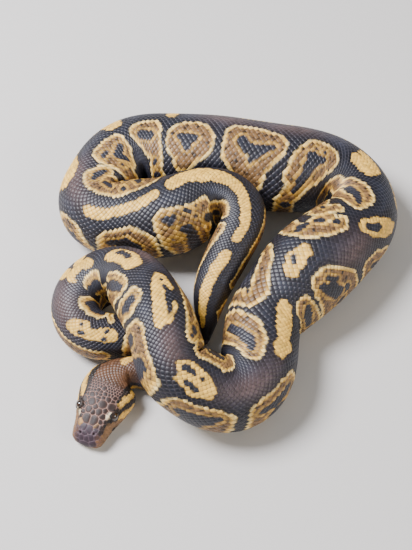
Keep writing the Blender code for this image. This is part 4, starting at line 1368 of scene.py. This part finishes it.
def eyeBall(centre, gaze):
    # a ball with its pole at the pupil; the pupil is an upright slit, the iris is streaked
    turn, about = np.meshgrid(np.linspace(0.0, math.pi, eye["rings"] + 1)[1:-1],
                              np.arange(eye["columns"]) * 2 * math.pi / eye["columns"], indexing="ij")
    side = np.cross(gaze, (0, 0, 1.0))
    side /= np.linalg.norm(side)
    up = np.cross(side, gaze)
    x, y = np.sin(turn) * np.cos(about), np.sin(turn) * np.sin(about)
    out = x[..., None] * side + y[..., None] * up + np.cos(turn)[..., None] * gaze
    points = np.concatenate([out.reshape(-1, 3), [gaze, -gaze]]) * eyeRadius + centre
    # the rings run the other way round than the skin's, so the faces are turned over
    faces = [np.roll(part[:, ::-1], 1, axis=1) for part in closedTube(*turn.shape)]
    tone = {key: linear(eye[key]) for key in ("iris", "irisPale", "rim")}
    count, swing, often = eye["streaks"]
    streak = 0.5 + 0.5 * np.sin(about * count + swing * np.sin(about * often))
    colour = mixed(np.zeros(turn.shape + (3,)) + tone["iris"], tone["irisPale"],
                   streak * ramp(turn, *eye["streakFade"]))
    slit = np.hypot(x * eyeRadius / eye["pupil"], y * eyeRadius / eye["pupilTall"])
    dark = np.maximum(ramp(slit, *eye["slitEdge"]), ramp(turn, *eye["irisEdge"]))
    colour = mixed(colour, tone["rim"], dark)
    return points, faces, np.concatenate([colour.reshape(-1, 3), [tone["rim"]] * 2])


def skinTube():
    # the grid of skin points as one closed tube, the bare skin's colour on it
    columns = skin["columns"]
    ring = skinPoints[:, :-1]
    tip = line["place"][-1] + line["heading"][-1] * skin["tip"]
    points = np.concatenate([ring.reshape(-1, 3), ring[0].mean(0)[None], tip[None]])
    s = np.repeat(ringS, columns)
    a = ((np.arange(columns) / columns - 0.5)[None] * girth[:, None]).ravel()
    _, between = coatColours(s, a)
    return points, closedTube(len(ring), columns), np.concatenate([between, between[:1], between[-1:]])


mouthS, mouthA = mouthLine()
eyeBoxes = [np.array(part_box(name)) / mm for name in ("eye_left", "eye_right")]
eyeCentres = [box.mean(0) for box in eyeBoxes]
eyeRadius = (eyeBoxes[0][1, 2] - eyeBoxes[0][0, 2]) / 2
_, eyeGazes = sampleSkin(np.array([eyeSpot[0] - eye["gaze"]] * 2), np.array([eyeSpot[1], -eyeSpot[1]]))
carveHead()
skinNormals = gridNormals(skinPoints, lineAt(line, ringS)[0])
skinPiece = makePiece("snakeSkin", *skinTube(), tintedMaterial("softSkin"), "back_skin")
fleshNodes = [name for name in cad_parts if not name.startswith("eye")]
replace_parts(skinPiece, *fleshNodes)
print("skin triangles", 2 * len(skinPiece.data.polygons))

scaleMaterial = tintedMaterial("keratinScales")
cuts = np.linspace(scale["from"], line["length"], scale["pieces"] + 1)
fan, bands = starFaces(scale["corners"], 3)
perScale = 1 + 3 * scale["corners"]
for k, (first, last) in enumerate(zip(cuts, cuts[1:])):
    s, a = layScales(first, last)
    points, colour, along, across = scalePlates(s, a)
    name = f"backScales{k + 1}"
    faces = [repeated(part, len(s), perScale) for part in (fan, bands)]
    u = (bake["start"] + bake["span"] * (s - first) / (last - first))[:, None] + bake["patch"] * along
    v = (a / bake["around"] + 0.5)[:, None] + bake["patch"] * across
    flat = np.stack([u.ravel(), v.ravel()], 1)
    makePiece(name, points, faces, colour, scaleMaterial, "back_skin", flat)
    print("scales", k + 1, len(s))

points, faces, colour, flat = headPlates()
makePiece("headScales", points, faces, colour, tintedMaterial("headKeratin"), "head_skin", flat)
print("head plates", len(points) // (len(plates["rings"]) * plates["rays"] + 1))

eyeGloss = tintedMaterial("corneaGloss")
eyeShader = eyeGloss.node_tree.nodes["Principled BSDF"]
eyeShader.inputs["Coat Weight"].default_value = eye["coat"]
eyeShader.inputs["Coat Roughness"].default_value = eye["coatRoughness"]
eyeNames = {"eyeLeft": "eye_left", "eyeRight": "eye_right"}
for (name, node), centre, gaze in zip(eyeNames.items(), eyeCentres, eyeGazes):
    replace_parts(makePiece(name, *eyeBall(centre, gaze), eyeGloss, "eye"), node)

points, faces, colour, flat = bellyPlates(belly["from"], line["length"] - belly["tailEnd"])
makePiece("bellyScales", points, faces, colour, tintedMaterial("bellyKeratin"), "belly_skin", flat)
print("belly plates", len(faces[0]) // (belly["across"] * belly["along"]))

# board under matt paint: an even pale ground that throws soft light back up
ground = {"half": 3000.0, "paint": "cfccc7", "roughness": 0.7}
corners = np.array([[-1, -1, 0], [1, -1, 0], [1, 1, 0], [-1, 1, 0.0]])
floorMesh = newMesh("floor", ground["half"] * corners, [np.array([[0, 1, 2, 3]])])
floorPaint = bpy.data.materials.new("floorPaint")
floorPaint.use_nodes = True
floorShader = floorPaint.node_tree.nodes["Principled BSDF"]
floorShader.inputs["Base Color"].default_value = (*linear(ground["paint"]), 1)
floorShader.inputs["Roughness"].default_value = ground["roughness"]
floorMesh.materials.append(floorPaint)
floor = bpy.data.objects.new("floor", floorMesh)
bpy.context.scene.collection.objects.link(floor)

# place, aim, width and power (metres and watts) and colour of each light
lights = {
    "skyPanel": ((-0.6, 0.12, 0.85), (0, 0, 0), 0.45, 29, "f8f8ff"),
    "windowPanel": ((0.8, -0.5, 0.7), (0, 0, 0.02), 0.6, 6, "fff4e6"),
}
surround = {"colour": "dfe6f0", "strength": 0.42}


def addLight(name, place, aim, size, power, hexText):
    # a round panel that faces its aim
    data = bpy.data.lights.new(name, "AREA")
    data.shape = "DISK"
    data.size = size
    data.energy = power
    data.color = linear(hexText)
    light = bpy.data.objects.new(name, data)
    bpy.context.scene.collection.objects.link(light)
    light.location = place
    light.rotation_euler = (Vector(aim) - Vector(place)).to_track_quat("-Z", "Y").to_euler()


for name, settings in lights.items():
    addLight(name, *settings)
world = bpy.data.worlds.new("studio")
world.use_nodes = True
sky = world.node_tree.nodes["Background"]
sky.inputs["Color"].default_value = (*linear(surround["colour"]), 1)
sky.inputs["Strength"].default_value = surround["strength"]
bpy.context.scene.world = world

# the lens sees the body from in front and above: degrees, metres, the aim in millimetres in the
# pegs' frame, and the lens and sensor in millimetres
view = {"elevation": 57.0, "distance": 0.573, "aim": (-8.0, 0.0), "lens": 74.95, "sensor": 36.0}
camera = bpy.data.objects.new("camera", bpy.data.cameras.new("camera"))
bpy.context.scene.collection.objects.link(camera)
tilt = math.radians(view["elevation"])
camera.location = ((view["aim"][0] - body["centre"][0]) * mm,
                   (view["aim"][1] - body["centre"][1]) * mm - view["distance"] * math.cos(tilt),
                   view["distance"] * math.sin(tilt))
camera.rotation_euler = (math.pi / 2 - tilt, 0, 0)
camera.data.sensor_width = view["sensor"]
camera.data.lens = view["lens"]
bpy.context.scene.camera = camera
